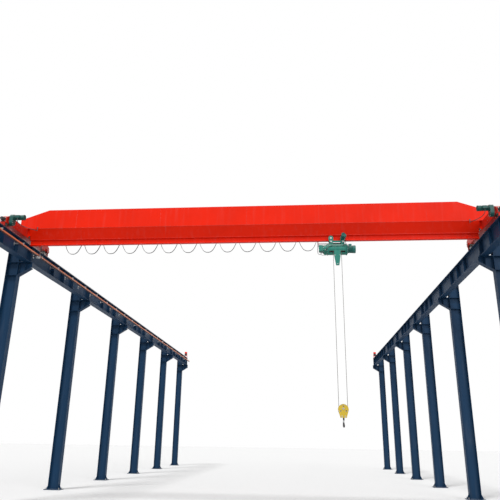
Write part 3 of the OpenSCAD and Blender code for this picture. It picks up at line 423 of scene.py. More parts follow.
rubberValues = dict(
    fineScale=350.0, cloudScale=9.0, bloom=(0.35, 0.75), rough=(0.3, 0.7), roughSpan=0.08, bump=0.3,
    relief=0.0004)


def rubberMaterial(name, colour, bloom, rough, v=rubberValues):
    # black rubber with a grey bloom in soft clouds
    m, tree, shader = startMaterial(name)
    place = placeIn(tree)
    fine = cloudAt(tree, place, v['fineScale'], 3.0)
    cloud = cloudAt(tree, place, v['cloudScale'], 5.0)
    tone = mixColour(tree, spread(tree, cloud, *v['bloom']), (*colour, 1), (*bloom, 1))
    rough = spread(tree, cloud, *v['rough'], rough - v['roughSpan'], rough + v['roughSpan'])
    surface(tree, shader, tone, rough, fine, v['bump'], v['relief'])
    return m


conductorValues = dict(
    orange=(0.80, 0.20, 0.065), faded=(0.83, 0.30, 0.15), brown=(0.09, 0.035, 0.03), bandTop=8.570,
    bandEdge=0.0015, patchScale=2.2, patchStretch=(1, 0.3, 1), patch=(0.35, 0.7), dust=0.55, streaks=0.1,
    variation=0.2, rough=(0.3, 0.7, 0.42, 0.6))


def conductorMaterial(name, v):
    # orange upper part and a dark brown side band, dull with dust
    m, tree, shader = startMaterial(name)
    place = placeIn(tree)
    split = tree.nodes.new('ShaderNodeSeparateXYZ')
    tree.links.new(place, split.inputs[0])
    band = spread(tree, split.outputs['Z'], v['bandTop'] - v['bandEdge'], v['bandTop'] + v['bandEdge'])
    patch = cloudAt(tree, place, v['patchScale'], 4.0, v['patchStretch'])
    orange = mixColour(tree, spread(tree, patch, *v['patch']), (*v['orange'], 1), (*v['faded'], 1))
    dust = useGroup(tree, dustGroup, Dust=v['dust'], Streaks=v['streaks'], Variation=v['variation'])
    tree.links.new(mixColour(tree, band, (*v['brown'], 1), orange), dust.inputs['Colour'])
    surface(tree, shader, dust.outputs['Colour'], spread(tree, patch, *v['rough']))
    return m


blues = dict(rough=0.50, specular=0.16, variation=0.5)
greens = dict(specular=0.38, dust=0.6, streaks=0.15, variation=0.4)
welds = dict(dust=0.4, bump=0.8, peel=2.0, peelScale=160.0)
looks = {
    'girderRed': dict(colour=(0.88, 0.016, 0.0), rough=0.45, dust=0.7, streaks=0.08, variation=0.4, wave=0.5,
                      specular=0.14),
    'carriageRed': dict(colour=(0.62, 0.018, 0.006), rough=0.42, dust=0.7, streaks=0.18, variation=0.5,
                        specular=0.3),
    'columnBlue': dict(blues, colour=(0.007, 0.038, 0.092), dust=0.35, streaks=0.14,
                       dustColour=(0.26, 0.28, 0.30)),
    'runwayBlue': dict(blues, colour=(0.010, 0.042, 0.098), dust=0.45, streaks=0.18,
                       dustColour=(0.26, 0.27, 0.28)),
    'hoistGreen': dict(greens, colour=(0.010, 0.205, 0.155), rough=0.40, peelScale=400.0, peel=0.5),
    'motorGreen': dict(greens, colour=(0.009, 0.150, 0.125), rough=0.42, peelScale=500.0, peel=0.9),
    # the travel drives' paint is the hoist green darkened to how the drives look in shade: painted shade
    'driveGreenPaintedShade': dict(greens, colour=(0.007, 0.085, 0.074), rough=0.42, peelScale=500.0, peel=0.9),
    'blockYellow': dict(colour=(0.66, 0.465, 0.028), rough=0.36, dust=0.5, streaks=0.5, variation=0.4,
                        dustColour=(0.10, 0.085, 0.07), peelScale=500.0),
    'cabinetGrey': dict(colour=(0.50, 0.51, 0.49), rough=0.42, dust=0.4, streaks=0.12, variation=0.2,
                        peelScale=900.0, peel=0.6),
    'weldRed': dict(welds, colour=(0.70, 0.020, 0.004), rough=0.34),
    'weldBlue': dict(welds, colour=(0.007, 0.038, 0.092), rough=0.42),
}
paint = {k: shopPaint(k, v) for k, v in looks.items()}
steels = {
    'railSteel': dict(dark=(0.16, 0.14, 0.13), light=(0.42, 0.40, 0.38), rough=0.40, rust=0.75,
                      stretch=(1, 0.02, 1)),
    'wheelSteel': dict(dark=(0.22, 0.21, 0.20), light=(0.46, 0.45, 0.44), rough=0.36, rust=0.35,
                       grainScale=90.0),
    'boltSteel': dict(dark=(0.36, 0.36, 0.35), light=(0.60, 0.60, 0.58), rough=0.36, rust=0.25,
                      grainScale=240.0, patchScale=14.0),
    'zincSteel': dict(dark=(0.40, 0.41, 0.42), light=(0.60, 0.61, 0.62), rough=0.42, rust=0.08,
                      grainScale=45.0, metal=0.8),
    'ropeSteel': dict(dark=(0.07, 0.065, 0.06), light=(0.24, 0.23, 0.22), rough=0.42, rust=0.3,
                      grainScale=500.0, patchScale=20.0),
    'hookSteel': dict(dark=(0.025, 0.025, 0.027), light=(0.07, 0.07, 0.072), rough=0.46, rust=0.15,
                      grainScale=140.0, metal=0.55, bump=0.5),
}
railSteel, wheelSteel, boltSteel, zincSteel, ropeSteel, hookSteel = (
    rolledSteel(k, v) for k, v in steels.items())
blackRubber = rubberMaterial('blackRubber', (0.018, 0.018, 0.018), (0.045, 0.043, 0.04), 0.62)
cableRubber = rubberMaterial('cableRubber', (0.03, 0.031, 0.033), (0.075, 0.075, 0.077), 0.5)
conductorPlastic = conductorMaterial('conductorPlastic', conductorValues)
print("materials made:", len(bpy.data.materials))

nodeFinish = {
    paint['columnBlue']: ['columns_left', 'columns_right'],
    paint['runwayBlue']: ['runway_beams_left', 'runway_beams_right'],
    paint['girderRed']: ['girder_box', 'hoist_beam', 'end_stops'],
    paint['carriageRed']: ['end_carriage_left', 'end_carriage_right'],
    paint['hoistGreen']: ['trolley_frame', 'drum_housing', 'hoist_gearbox', 'hoist_control_box',
                          'rope_guide'],
    # the travel drives get the darker green, which has their shade painted in
    paint['driveGreenPaintedShade']: ['travel_drive_left', 'travel_drive_right'],
    paint['motorGreen']: ['trolley_drive', 'hoist_motor'],
    paint['blockYellow']: ['hook_block'],
    paint['cabinetGrey']: ['control_cabinet'],
    railSteel: ['rail_left', 'rail_right'],
    wheelSteel: ['wheel_left_near', 'wheel_left_far', 'wheel_right_near', 'wheel_right_far', 'hook_sheave',
                 'rope_drum'] + ['trolley_wheel_%d' % i for i in range(1, 5)],
    zincSteel: ['conductor_brackets', 'festoon_track', 'festoon_track_arms', 'current_collector',
                'festoon_tow_arm'] + ['cable_carrier_%d' % i for i in range(1, 13)],
    blackRubber: ['carriage_buffers'],
    cableRubber: ['festoon_cable'],
    conductorPlastic: ['conductor_tube'],
    ropeSteel: ['rope_falls'],
    hookSteel: ['hook'],
}


def dress(ob, material):
    ob.data.materials.clear()
    ob.data.materials.append(material)
    for p in ob.data.polygons:
        p.material_index = 0


def finish(ob, material, body):
    dress(ob, material)
    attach(ob, body)
    return ob


def joined(name, parts, material, body):
    # several shapes as one finished piece
    return finish(joinAll(parts, name), material, body)


for material, names in nodeFinish.items():
    for n in names:
        dress(nodes[n], material)


def middle(name):
    low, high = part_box(name)
    return (Vector(low) + Vector(high)) / 2


def ends(name):
    low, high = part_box(name)
    return Vector(low), Vector(high)


# places taken from the frame, in metres
bridgeY = middle('girder_box').y
hoistX = middle('trolley_frame').x
hookX, hookY = middle('hook').x, middle('hook_sheave').y
sheaveZ = middle('hook_sheave').z
drumZ = middle('rope_drum').z
axleZ = middle('wheel_left_near').z
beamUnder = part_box('hoist_beam')[0][2]
railX = middle('rail_right').x

# Camera
cameraValues = dict(
    place=(1.835, bridgeY - 18.593, 2.172), yaw=5.274, pitch=18.819, roll=0.87, focalPixels=554.45,
    imagePixels=500.0, sensor=36.0, clipEnd=300.0)


def makeCamera(v):
    cam = bpy.data.cameras.new('camera')
    ob = link('camera', cam)
    a, b, c = (math.radians(v[k]) for k in ('yaw', 'pitch', 'roll'))
    ahead = Vector((-math.sin(a) * math.cos(b), math.cos(a) * math.cos(b), math.sin(b)))
    right = Vector((math.cos(a), math.sin(a), 0))
    up = right.cross(ahead)
    right, up = right * math.cos(c) + up * math.sin(c), up * math.cos(c) - right * math.sin(c)
    m = Matrix((right, up, -ahead)).transposed().to_4x4()
    m.translation = v['place']
    ob.matrix_world = m
    cam.sensor_width = v['sensor']
    cam.lens = v['focalPixels'] * v['sensor'] / v['imagePixels']
    cam.clip_end = v['clipEnd']
    bpy.context.scene.camera = ob


makeCamera(cameraValues)
print("camera set")

# Studio: each light has its strength, spin, tilt and angle
studioValues = dict(
    floorHalf=130.0, floorDrop=0.002, floorRough=0.85, world=0.48, keyLight=(1.9, -28, 30, 14),
    fillLight=(1.2, 35, 66, 40), floorSeen=(0.80, 0.80, 0.80, 1), floorBounce=(0.42, 0.42, 0.42, 1))


def seenDirectly(tree):
    ray = tree.nodes.new('ShaderNodeLightPath')
    return ray, sums(tree, 'MAXIMUM', ray.outputs['Is Camera Ray'], ray.outputs['Is Glossy Ray'])


def makeStudio(v):
    deselectAll()
    bpy.ops.mesh.primitive_plane_add(size=2 * v['floorHalf'], location=(0, 0, -v['floorDrop']))
    floor = applyPlace(newPiece('studioFloor'))
    m, tree, shader = startMaterial('floorPaint')
    # pale where the camera looks, greyer for the light that it throws back up
    colour = mixColour(tree, seenDirectly(tree)[1], v['floorBounce'], v['floorSeen'])
    tree.links.new(colour, shader.inputs['Base Color'])
    shader.inputs['Roughness'].default_value = v['floorRough']
    floor.data.materials.append(m)
    world = bpy.data.worlds.new('studioWorld')
    bpy.context.scene.world = world
    world.use_nodes = True
    t = world.node_tree
    t.nodes.clear()
    path, seen = seenDirectly(t)
    seen = sums(t, 'MAXIMUM', seen, path.outputs['Is Transmission Ray'])
    mix = t.nodes.new('ShaderNodeMixShader')
    t.links.new(seen, mix.inputs[0])
    for i, strength in ((1, v['world']), (2, 1.0)):
        light = put(t, 'ShaderNodeBackground', Color=(1, 1, 1, 1), Strength=strength)
        t.links.new(light.outputs[0], mix.inputs[i])
    t.links.new(mix.outputs[0], t.nodes.new('ShaderNodeOutputWorld').inputs[0])
    for name in ('keyLight', 'fillLight'):
        strength, spin, tilt, angle = v[name]
        light = bpy.data.lights.new(name, 'SUN')
        light.energy = strength
        light.angle = math.radians(angle)
        link(name, light).rotation_euler = (math.radians(tilt), 0, math.radians(spin))


makeStudio(studioValues)
bpy.context.scene.view_settings.view_transform = 'Standard'
print("studio made")

# Ropes: two falls and the turn round the sheave, as one stranded rope
ropeValues = dict(diameter=0.015, strands=6, lay=0.105, valley=0.80, stepsPerMetre=140, turnSteps=96)


def strandedRope(name, path, v):
    # a lobed section drawn along the path, turned a little at each point
    section = bpy.data.curves.new('ropeSection', 'CURVE')
    section.dimensions = '2D'
    s = section.splines.new('POLY')
    n = v['strands'] * 3
    s.points.add(n - 1)
    for i, (x, y) in enumerate(ringOf(v['diameter'] / 2, 0, n)):
        k = v['valley'] if i % 3 == 0 else 1.0
        s.points[i].co = (k * x, k * y, 0, 1)
    s.use_cyclic_u = True
    sectionOb = link('ropeSection', section)
    curve = bpy.data.curves.new(name, 'CURVE')
    curve.dimensions = '3D'
    curve.twist_mode = 'MINIMUM'
    line = curve.splines.new('POLY')
    line.points.add(len(path) - 1)
    run = 0.0
    for i, p in enumerate(path):
        if i:
            run += (Vector(p) - Vector(path[i - 1])).length
        line.points[i].co = (*p, 1)
        line.points[i].tilt = 2 * math.pi * run / v['lay']
    curve.bevel_mode = 'OBJECT'
    curve.bevel_object = sectionOb
    curve.use_fill_caps = True
    pick(link(name, curve))
    bpy.ops.object.convert(target='MESH')
    bpy.data.objects.remove(sectionOb)
    return smooth(newPiece(name), 75)


def makeFalls(v):
    low, high = ends('rope_falls')
    r = v['diameter'] / 2
    left, right, y, top = low.x + r, high.x - r, (low.y + high.y) / 2, high.z
    half = (right - left) / 2
    count = int((top - sheaveZ) * v['stepsPerMetre'])
    down = [(left, y, top + (sheaveZ - top) * i / count) for i in range(count)]
    angles = [math.pi * i / v['turnSteps'] for i in range(v['turnSteps'])]
    turn = [(hookX - half * math.cos(a), y, sheaveZ - half * math.sin(a)) for a in angles]
    up = [(right, y, sheaveZ + (top - sheaveZ) * i / count) for i in range(count + 1)]
    rope = strandedRope('hoistRope', down + turn + up, v)
    rope.data.materials.append(ropeSteel)
    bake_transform(rope)
    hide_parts('rope_falls')


makeFalls(ropeValues)
print("rope made")

# Festoon: two flat cables in thirteen hanging loops
festoonValues = dict(
    loops=13, depth=0.46, leg=0.034, cableRadius=0.0333, cableHalf=0.007, sagPower=2.6, width=0.036,
    thick=0.0055, apart=0.0078, steps=44, strips=3, edge=0.35)


def flatBand(path, y, shift, v):
    # a flat cable: its long edge line is extruded across, then given its thickness
    line = []
    for i, (x, z) in enumerate(path):
        a, b = Vector(path[max(i - 1, 0)]), Vector(path[min(i + 1, len(path) - 1)])
        d = (b - a).normalized()
        line.append((x - d.y * shift, y - v['width'] / 2, z + d.x * shift))
    mesh = bpy.data.meshes.new('flatCable')
    mesh.from_pydata(line, [(i, i + 1) for i in range(len(line) - 1)], [])
    ob = pick(link('flatCable', mesh))
    bpy.ops.object.mode_set(mode='EDIT')
    bpy.ops.mesh.select_all(action='SELECT')
    for _ in range(v['strips']):
        extrudeBy(0, v['width'] / v['strips'], 0)
    bpy.ops.mesh.select_all(action='SELECT')
    bpy.ops.mesh.normals_make_consistent(inside=False)
    leaveEdit()
    addModifier(ob, 'SOLIDIFY', thickness=v['thick'], offset=0)
    return bevelAll(ob, v['thick'] * v['edge'], 2, 60)


def twoCables(name, path, y, v):
    ob = smooth(joinAll([flatBand(path, y, s * v['apart'] / 2, v) for s in both], name), 50)
    ob.data.materials.append(cableRubber)
    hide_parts('festoon_cable')
    return ob


def blendAlong(ob):
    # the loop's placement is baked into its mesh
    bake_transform(ob)


def makeFestoon(v):
    r, last = v['cableRadius'], v['loops']
    y = middle('festoon_cable').y
    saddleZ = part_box('festoon_cable')[1][2] - r - v['cableHalf']
    hangZ = saddleZ - v['leg']
    carrier = [middle('cable_carrier_%d' % i).x for i in range(1, last)]
    pitch = carrier[1] - carrier[0]
    xs = [carrier[0] - pitch] + carrier + [carrier[-1] + pitch]
    # what lies on a saddle rides with it
    for i, x in enumerate(xs):
        before, after = [] if i == 0 else [(x - r, hangZ)], [] if i == last else [(x + r, hangZ)]
        a, b = -90 if before else 0, 90 if after else 0
        turns = [math.radians(a + 9 * k) for k in range((b - a) // 9 + 1)]
        path = before + [(x + r * math.sin(t), saddleZ + r * math.cos(t)) for t in turns] + after
        body = 'bridge' if i == 0 else 'trolley' if i == last else 'cable_carrier_%d_body' % i
        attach(twoCables('cableOnSaddle_%d' % i, path, y, v), body)
    half = v['steps'] // 2
    for i in range(last):
        a, b = xs[i] + r, xs[i + 1] - r
        path, weights = [], []
        for k in range(v['steps'] + 1):
            t = (1 - math.cos(math.pi * k / v['steps'])) / 2
            sag = (v['depth'] - v['leg']) * (1 - abs(2 * t - 1) ** v['sagPower'])
            path.append((a + t * (b - a), hangZ - sag))
            weights.append((i + t) / last)
        parts = [('', slice(0, None))]
        if i in (0, last - 1):
            # the outer loops close evenly only as two halves
            parts = [('_first', slice(0, half + 1)), ('_second', slice(half, None))]
        for part, span in parts:
            name = 'festoonLoop_%d%s' % (i + 1, part)
            blendAlong(twoCables(name, path[span], y, v))


makeFestoon(festoonValues)
print("festoon loops made")

# Bolts, clips and welds that the plain nodes leave out
boltValues = dict(
    washerHigh=0.22, washerWide=0.98, headWide=0.577, headEdge=0.12, studWide=0.31, studEdge=0.05)


def boltHead(width, height, washer=True, stud=0.0):
    # hexagon head on a washer, pointing along +Z from the origin
    v, parts, base = boltValues, [], 0.0
    if washer:
        base = height * v['washerHigh']
        parts.append(rodUp(0, base, width * v['washerWide'], 14))
    parts.append(rodUp(base, base + height, width * v['headWide'], 6, height * v['headEdge']))
    if stud:
        top = base + height
        parts.append(rodUp(top, top + stud, width * v['studWide'], 10, width * v['studEdge']))
    return joinAll(parts, 'bolt')


def placed(name, source, places, material, body):
    # copies of one shape as one finished piece
    return finish(copyTo(source, name, places), material, body)


def bolted(name, size, places, body):
    return placed(name, boltHead(*size), places, boltSteel, body)


def weldOn(centre, half, size):
    # a bead through a centre, half a length to each side
    return rod(Vector(centre) - Vector(half), Vector(centre) + Vector(half), size, 6)


runwayValues = dict(
    bay=6.0, bays=6, columnX=8.755, baseTop=0.025, anchorX=0.29, anchorY=0.16,
    anchorBolt=(0.036, 0.022, True, 0.035), seatBolt=(0.030, 0.016), seatX=0.095, seatY=0.075, footT=0.014,
    tieXs=(8.374, 8.470), tieY=0.06, tieT=0.012)
clipValues = dict(
    pitch=0.6, endGap=0.25, low=(-0.018, -0.024, 0), high=(0.046, 0.024, 0.018), nose=(1, 0.8, 0.45),
    noseUp=0.004, edge=0.0025, bolt=(0.024, 0.012), boltX=0.024, railOut=0.050)
runwayWeldValues = dict(
    size=0.006, thin=0.0048, endGap=0.02, webOut=0.006, flangeIn=0.016, flangeX=0.225, flangeHalf=0.125,
    webHalf=0.21, rise=0.002, bracketX=8.53, bracketHalf=0.115, bracketDown=(0.021, 0.525),
    bracketWeb=0.0075, webShort=0.005, webStart=0.02)
sleeveValues = dict(half=0.06, proud=0.004, edge=0.003, rim=0.0035, thick=0.003, pitch=3.0)
columnX, baseTop = runwayValues['columnX'], runwayValues['baseTop']
beamFoot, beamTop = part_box('runway_beams_left')[0][2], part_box('runway_beams_left')[1][2]
columnYs = [runwayValues['bay'] * (i - runwayValues['bays'] / 2) for i in range(runwayValues['bays'] + 1)]


def makeRunwayBolts(v):
    places = [at(s * columnX + a * v['anchorX'], y + b * v['anchorY'], baseTop)
              for s in both for y in columnYs for a, b in corners]
    bolted('anchorNuts', v['anchorBolt'], places, 'runway')
    # bolts through the beams' lower flanges into the brackets, and through the ties
    places = []
    for s in both:
        for y in columnYs:
            places += [at(s * (railX + a * v['seatX']), y + b * v['seatY'], beamFoot + v['footT'])
                       for a, b in corners]
            places += [at(s * x, y + b * v['tieY'], beamTop + v['tieT']) for b in both for x in v['tieXs']]
    bolted('seatBolts', v['seatBolt'], places, 'runway')


def makeRailClips(v):
    # a cast clip with a sloped nose over the rail's foot, and its bolt
    body = block(v['low'], v['high'])
    choose(body, 'faces', lambda f: f.normal.x < -0.9)
    bpy.ops.transform.resize(value=v['nose'])
    bpy.ops.transform.translate(value=(0, 0, v['noseUp']))
    leaveEdit()
    bevelAll(body, v['edge'], 1)
    head = boltHead(*v['bolt'])
    head.data.transform(at(v['boltX'], 0, v['high'][2]))
    clip = joinAll([body, head], 'railClip')
    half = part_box('rail_left')[1][1] - v['endGap']
    count = int(2 * half / v['pitch'])
    places = []
    for s in both:
        for i in range(count + 1):
            y = -half + i * 2 * half / count
            places.append(at(s * railX + v['railOut'], y, beamTop))
            places.append(at(s * railX - v['railOut'], y, beamTop) @ turned('Z', 180))
    placed('railClips', clip, places, boltSteel, 'runway')


def makeRunwayWelds(v):
    low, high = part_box('runway_beams_left')
    size, obs = v['size'], []
    along = (0, (high[1] - low[1]) / 2 - v['endGap'], 0)
    drop, reach = v['bracketDown'][1] - v['webShort'], v['webStart']
    for s in both:
        for k in both:
            for z in (beamFoot + v['flangeIn'], beamTop - v['flangeIn']):
                obs.append(weldOn((s * railX + k * v['webOut'], (low[1] + high[1]) / 2, z), along, size))
        for y in columnYs:
            x, bracketX = s * columnX, s * v['bracketX']
            for k in both:
                obs.append(weldOn((x + k * v['flangeX'], y, baseTop), (0, v['flangeHalf'], 0), size))
                obs.append(weldOn((x, y + k * v['webOut'], baseTop + v['rise']), (v['webHalf'], 0, 0), size))
                obs.append(weldOn((bracketX, y + k * v['bracketWeb'], beamFoot - (drop + reach) / 2),
                                  (0, 0, (drop - reach) / 2), v['thin']))
            for z in v['bracketDown']:
                obs.append(weldOn((bracketX, y, beamFoot - z), (0, v['bracketHalf'], 0), size))
    joined('runwayWelds', obs, paint['weldBlue'], 'runway')


def makeConductorSleeves(v):
    # joint sleeves on the conductor tube, one every few metres
    low, high = ends('conductor_tube')
    proud = Vector((v['proud'], 0, v['proud']))
    near, far = Vector((low.x, -v['half'], low.z)) - proud, Vector((high.x, v['half'], high.z)) + proud
    source = block(near, far, v['edge'])
    choose(source, 'faces', lambda f: abs(f.normal.y) > 0.99)
    bpy.ops.mesh.inset(thickness=v['rim'])
    bpy.ops.mesh.delete(type='FACE')
    leaveEdit()
    addModifier(source, 'SOLIDIFY', thickness=v['thick'], offset=-1)
    y = low.y + v['pitch']
    places = [at(0, y + v['pitch'] * i, 0) for i in range(int((high.y - y) / v['pitch']))]
    placed('conductorSleeves', source, places, conductorPlastic, 'runway')


makeRunwayBolts(runwayValues)
makeRailClips(clipValues)
makeRunwayWelds(runwayWeldValues)
makeConductorSleeves(sleeveValues)
print("runway details made")

# Bridge: welds, bolts, covers and cables
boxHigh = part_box('girder_box')[1]
boxHalf = (boxHigh[1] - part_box('girder_box')[0][1]) / 2
# heights at which the sloping plates meet the box and the beam
boxFoot = 9.41
beamHead = beamUnder + 0.21
girderValues = dict(
    topIn=0.004, topDown=0.009, footIn=0.003, seamLow=0.004, seamDown=0.012, saddleIn=0.002,
    saddleUp=0.001, weld=0.006, topWeld=0.0048, seamWeld=0.0032, half=8.05, topHalf=7.3, rootHalf=8.04,
    seams=(-6.3, -3.15, 0.0, 3.15, 6.3), seamShift=0.2, headY=0.068, headOut=0.07, webOut=0.006,
    flangeIn=0.015, saddleX=8.275, saddleHalf=0.135, bolt=(0.030, 0.018), boltX=8.128,
    boltYs=(-0.095, -0.035, 0.035, 0.095), boltZs=(9.155, 9.235, 9.315))


def makeGirderWelds(v):
    size, obs = v['weld'], []
    along, head = (v['half'], 0, 0), beamHead
    for k in both:
        y = bridgeY + k * boxHalf
        obs.append(weldOn((0, y - k * v['footIn'], boxFoot), along, size))
        obs.append(weldOn((0, bridgeY + k * v['headY'], head), along, size))
        top = (0, y - k * v['topIn'], boxHigh[2] - v['topDown'])
        obs.append(weldOn(top, (v['topHalf'], 0, 0), v['topWeld']))
        for x in v['seams']:
            low, high = boxFoot + v['seamLow'], boxHigh[2] - v['seamDown']
            obs.append(rod((x, y, low), (x, y, high), v['seamWeld'], 6))
            foot = (x + v['seamShift'], bridgeY + k * v['headOut'], head)
            lean = (0, k * (boxHalf - v['headOut']), boxFoot - head)
            obs.append(stub(foot, lean, v['seamWeld']))
        for z in (beamUnder + v['flangeIn'], head - v['flangeIn']):
            obs.append(weldOn((0, bridgeY + k * v['webOut'], z), (v['rootHalf'], 0, 0), size))
    for s, k in corners:
        centre = (s * v['saddleX'], bridgeY + k * (boxHalf - v['saddleIn']), boxFoot + v['saddleUp'])
        obs.append(weldOn(centre, (s * v['saddleHalf'], 0, 0), size))
    joined('girderWelds', obs, paint['weldRed'], 'bridge')


def makeBracketBolts(v):
    places = [facingX(-s, s * v['boltX'], bridgeY + dy, z)
              for s in both for dy in v['boltYs'] for z in v['boltZs']]
    bolted('bracketBolts', v['bolt'], places, 'bridge')


carriageValues = dict(
    wheelbase=3.0, width=0.22, boss=0.045, coverHalf=(0.18, 0.085), coverT=0.006, coverCorner=0.030,
    coverRim=0.026, coverRise=0.004, coverEdge=0.0012, coverY=0.80, coverZ=9.24,
    screw=(0.014, 0.006, False), screwIn=(0.016, 0.014), capBolt=(0.018, 0.009), capRadius=0.036,
    capHigh=0.010, capRing=0.050, bufferY=1.716, bufferZ=9.20, bufferBolt=0.064)


def makeCarriageCovers(v):
    # inspection covers on both sides of each end carriage, with their screws
    w, h = v['coverHalf']
    plate = block((0, -w, -h), (v['coverT'], w, h))

    def runsAcross(e):
        d = e.verts[0].co - e.verts[1].co
        return abs(d.y) < 1e-5 and abs(d.z) < 1e-5

    choose(plate, 'edges', runsAcross)
    bpy.ops.mesh.bevel(offset=v['coverCorner'], segments=5)
    choose(plate, 'faces', lambda f: f.normal.x > 0.9, True)
    bpy.ops.mesh.inset(thickness=v['coverRim'])
    extrudeBy(v['coverRise'], 0, 0)
    leaveEdit()
    bevelAll(plate, v['coverEdge'], 1)
    places = []
    for s, face in corners:
        for dy in (-v['coverY'], v['coverY']):
            m = at(s * railX + face * v['width'] / 2, bridgeY + dy, v['coverZ'])
            places.append(m if face > 0 else m @ turned('Z', 180))
    placed('carriageCovers', plate, places, paint['carriageRed'], 'bridge')
    dx, dz = w - v['screwIn'][0], h - v['screwIn'][1]
    spots = [facingX(1, v['coverT'], y, z) for y in (-dx, 0, dx) for z in (-dz, dz)]
    screws = [m @ spot for m in places for spot in spots]
    bolted('coverScrews', v['screw'], screws, 'bridge')


def makeCarriageBolts(v):
    # a ring of bolts and a raised centre on each bearing cap that no drive hides
    ring, caps = [], []
    for s, face in corners:
        for e in both:
            if e < 0 and face * s < 0:
                continue
            x = s * railX + face * (v['width'] / 2 + v['boss'])
            caps.append(facingX(face, x, bridgeY + e * v['wheelbase'] / 2, axleZ))
            ring += [caps[-1] @ turned('Z', 30 + 60 * a) @ at(v['capRing'], 0, 0) for a in range(6)]
    bolted('capBolts', v['capBolt'], ring, 'bridge')
    cap = rodUp(0, v['capHigh'], v['capRadius'], 28, plateEdge)
    placed('capCentres', cap, caps, paint['carriageRed'], 'bridge')
    places = []
    for s, e in corners:
        m = facingY(e, s * railX, bridgeY + e * v['bufferY'], v['bufferZ'])
        places += [m @ at(a * v['bufferBolt'], b * v['bufferBolt'], 0) for a, b in corners]
    bolted('bufferBolts', v['capBolt'], places, 'bridge')


makeGirderWelds(girderValues)
makeBracketBolts(girderValues)
makeCarriageCovers(carriageValues)
makeCarriageBolts(carriageValues)
print("bridge bolts and covers made")

cowlValues = dict(
    rim=0.16, deep=0.45, edge=0.035, inner=0.84, wire=0.020, wireZ=0.86, hubZ=(0.80, 0.92), hub=0.14,
    bar=(0.12, 1.01), ringGap=0.35)


def fanCowl(radius, depth, rings=4, bars=6):
    # perforated fan cowl, open end towards +Z: a dished cup with a wire grille
    v, r = cowlValues, radius
    cup = rodUp(0, depth, r, 40)
    choose(cup, 'faces', lambda f: f.normal.z > 0.9, True)
    bpy.ops.mesh.inset(thickness=r * v['rim'])
    extrudeBy(0, 0, -depth * v['deep'])
    leaveEdit()
    parts = [bevelAll(cup, r * v['edge'], 2)]
    inner, z = r * v['inner'], depth * v['wireZ']
    for i in range(1, rings + 1):
        deselectAll()
        major = inner * i / (rings + v['ringGap'])
        bpy.ops.mesh.primitive_torus_add(major_radius=major, minor_radius=r * v['wire'], major_segments=32,
                                         minor_segments=6, location=(0, 0, z))
        parts.append(newPiece('cowlRing'))
    for a in range(bars):
        near, far = (turned('Z', 360 * a / bars) @ Vector((inner * k, 0, z)) for k in v['bar'])
        parts.append(rod(near, far, r * v['wire'], 6))
    parts.append(rodUp(depth * v['hubZ'][0], depth * v['hubZ'][1], r * v['hub'], 18, r * v['wire']))
    return smooth(joinAll(parts, 'fanCowl'), 40)


lidValues = dict(thick=0.008, edge=0.003, screwIn=0.012, screwHigh=0.004, screw=0.0055)


def motorLid(width, length):
    # terminal box lid with its screws, for a motor lying along X with its box on -Y
    v = lidValues
    parts = [block((-length / 2, -v['thick'], -width / 2), (length / 2, 0, width / 2), v['edge'])]
    for a, b in corners:
        foot = (a * (length / 2 - v['screwIn']), -v['thick'], b * (width / 2 - v['screwIn']))
        parts.append(stub(foot, (0, -v['screwHigh'], 0), v['screw'], 10, hairEdge))
    return joinAll(parts, 'motorLid')


driveValues = dict(
    inner=7.975, motorRadius=0.088, motorLength=0.33, rise=0.18, cable=0.011, cowlDepth=0.045,
    cowlIn=0.001, cowlOver=0.006, lid=(0.096, 0.140), lidAt=0.51, lidOut=0.038, bolt=(0.016, 0.008),
    lowRing=0.104, topRing=0.1035, gland=0.017, glandIn=0.020, glandDown=0.046, sunk=0.002,
    glandLong=0.028, wallSunk=0.001, wallLong=0.027, wallGland=0.019, wallX=7.74, wallZ=9.44,
    cableStart=((0, 0, 0), (0, 0, -0.10), (-0.02, 0.10, -0.17)),
    cableRun=((7.62, -0.62, 9.20), (7.70, -0.34, 9.30)), cableEnd=(0, -0.004, 0.02))


def makeTravelDrives(v):
    y, z = bridgeY - carriageValues['wheelbase'] / 2, axleZ + v['rise']
    tail, lidX = v['inner'] - v['motorLength'] + v['cowlIn'], v['inner'] - v['motorLength'] * v['lidAt']
    cowl = fanCowl(v['motorRadius'] + v['cowlOver'], v['cowlDepth'])
    places = [facingX(-s, s * tail, y, z) for s in both]
    # cowls and lids in the drives' darker green, with their shade painted in
    placed('driveCowls', cowl, places, paint['driveGreenPaintedShade'], 'bridge')
    places = [at(s * lidX, y - v['motorRadius'] - v['lidOut'], z) for s in both]
    placed('driveLids', motorLid(*v['lid']), places, paint['driveGreenPaintedShade'], 'bridge')
    low = [(a, b) for a, b in ringOf(v['lowRing'], 22.5, 8) if b < 0.5 * v['lowRing']]
    top = [(a, b + v['rise']) for a, b in ringOf(v['topRing'], 22.5, 8) if b > 0.5 * v['topRing']]
    places = [facingX(-s, s * v['inner'], y + a, axleZ + b)
              for s in both for a, b in low + top]
    bolted('driveBolts', v['bolt'], places, 'bridge')
    cables = []
    for s in both:
        # motor cable from its gland back to the girder
        p = Vector((s * lidX, y - v['motorRadius'] - v['glandIn'], z - v['glandDown']))
        wall = Vector((s * v['wallX'], bridgeY - boxHalf, v['wallZ']))
        path = [p + Vector((s * a, b, c)) for a, b, c in v['cableStart']]
        path += [(s * a, bridgeY + b, c) for a, b, c in v['cableRun']] + [wall + Vector(v['cableEnd'])]
        cables.append(tube(path, v['cable']))
        cables.append(stub(p + Vector((0, 0, v['sunk'])), (0, 0, -v['glandLong']), v['gland'], 6, smallEdge))
        foot = wall + Vector((0, v['wallSunk'], 0))
        cables.append(stub(foot, (0, -v['wallLong'], 0), v['wallGland'], 12, smallEdge))
    joined('driveCables', cables, cableRubber, 'bridge')


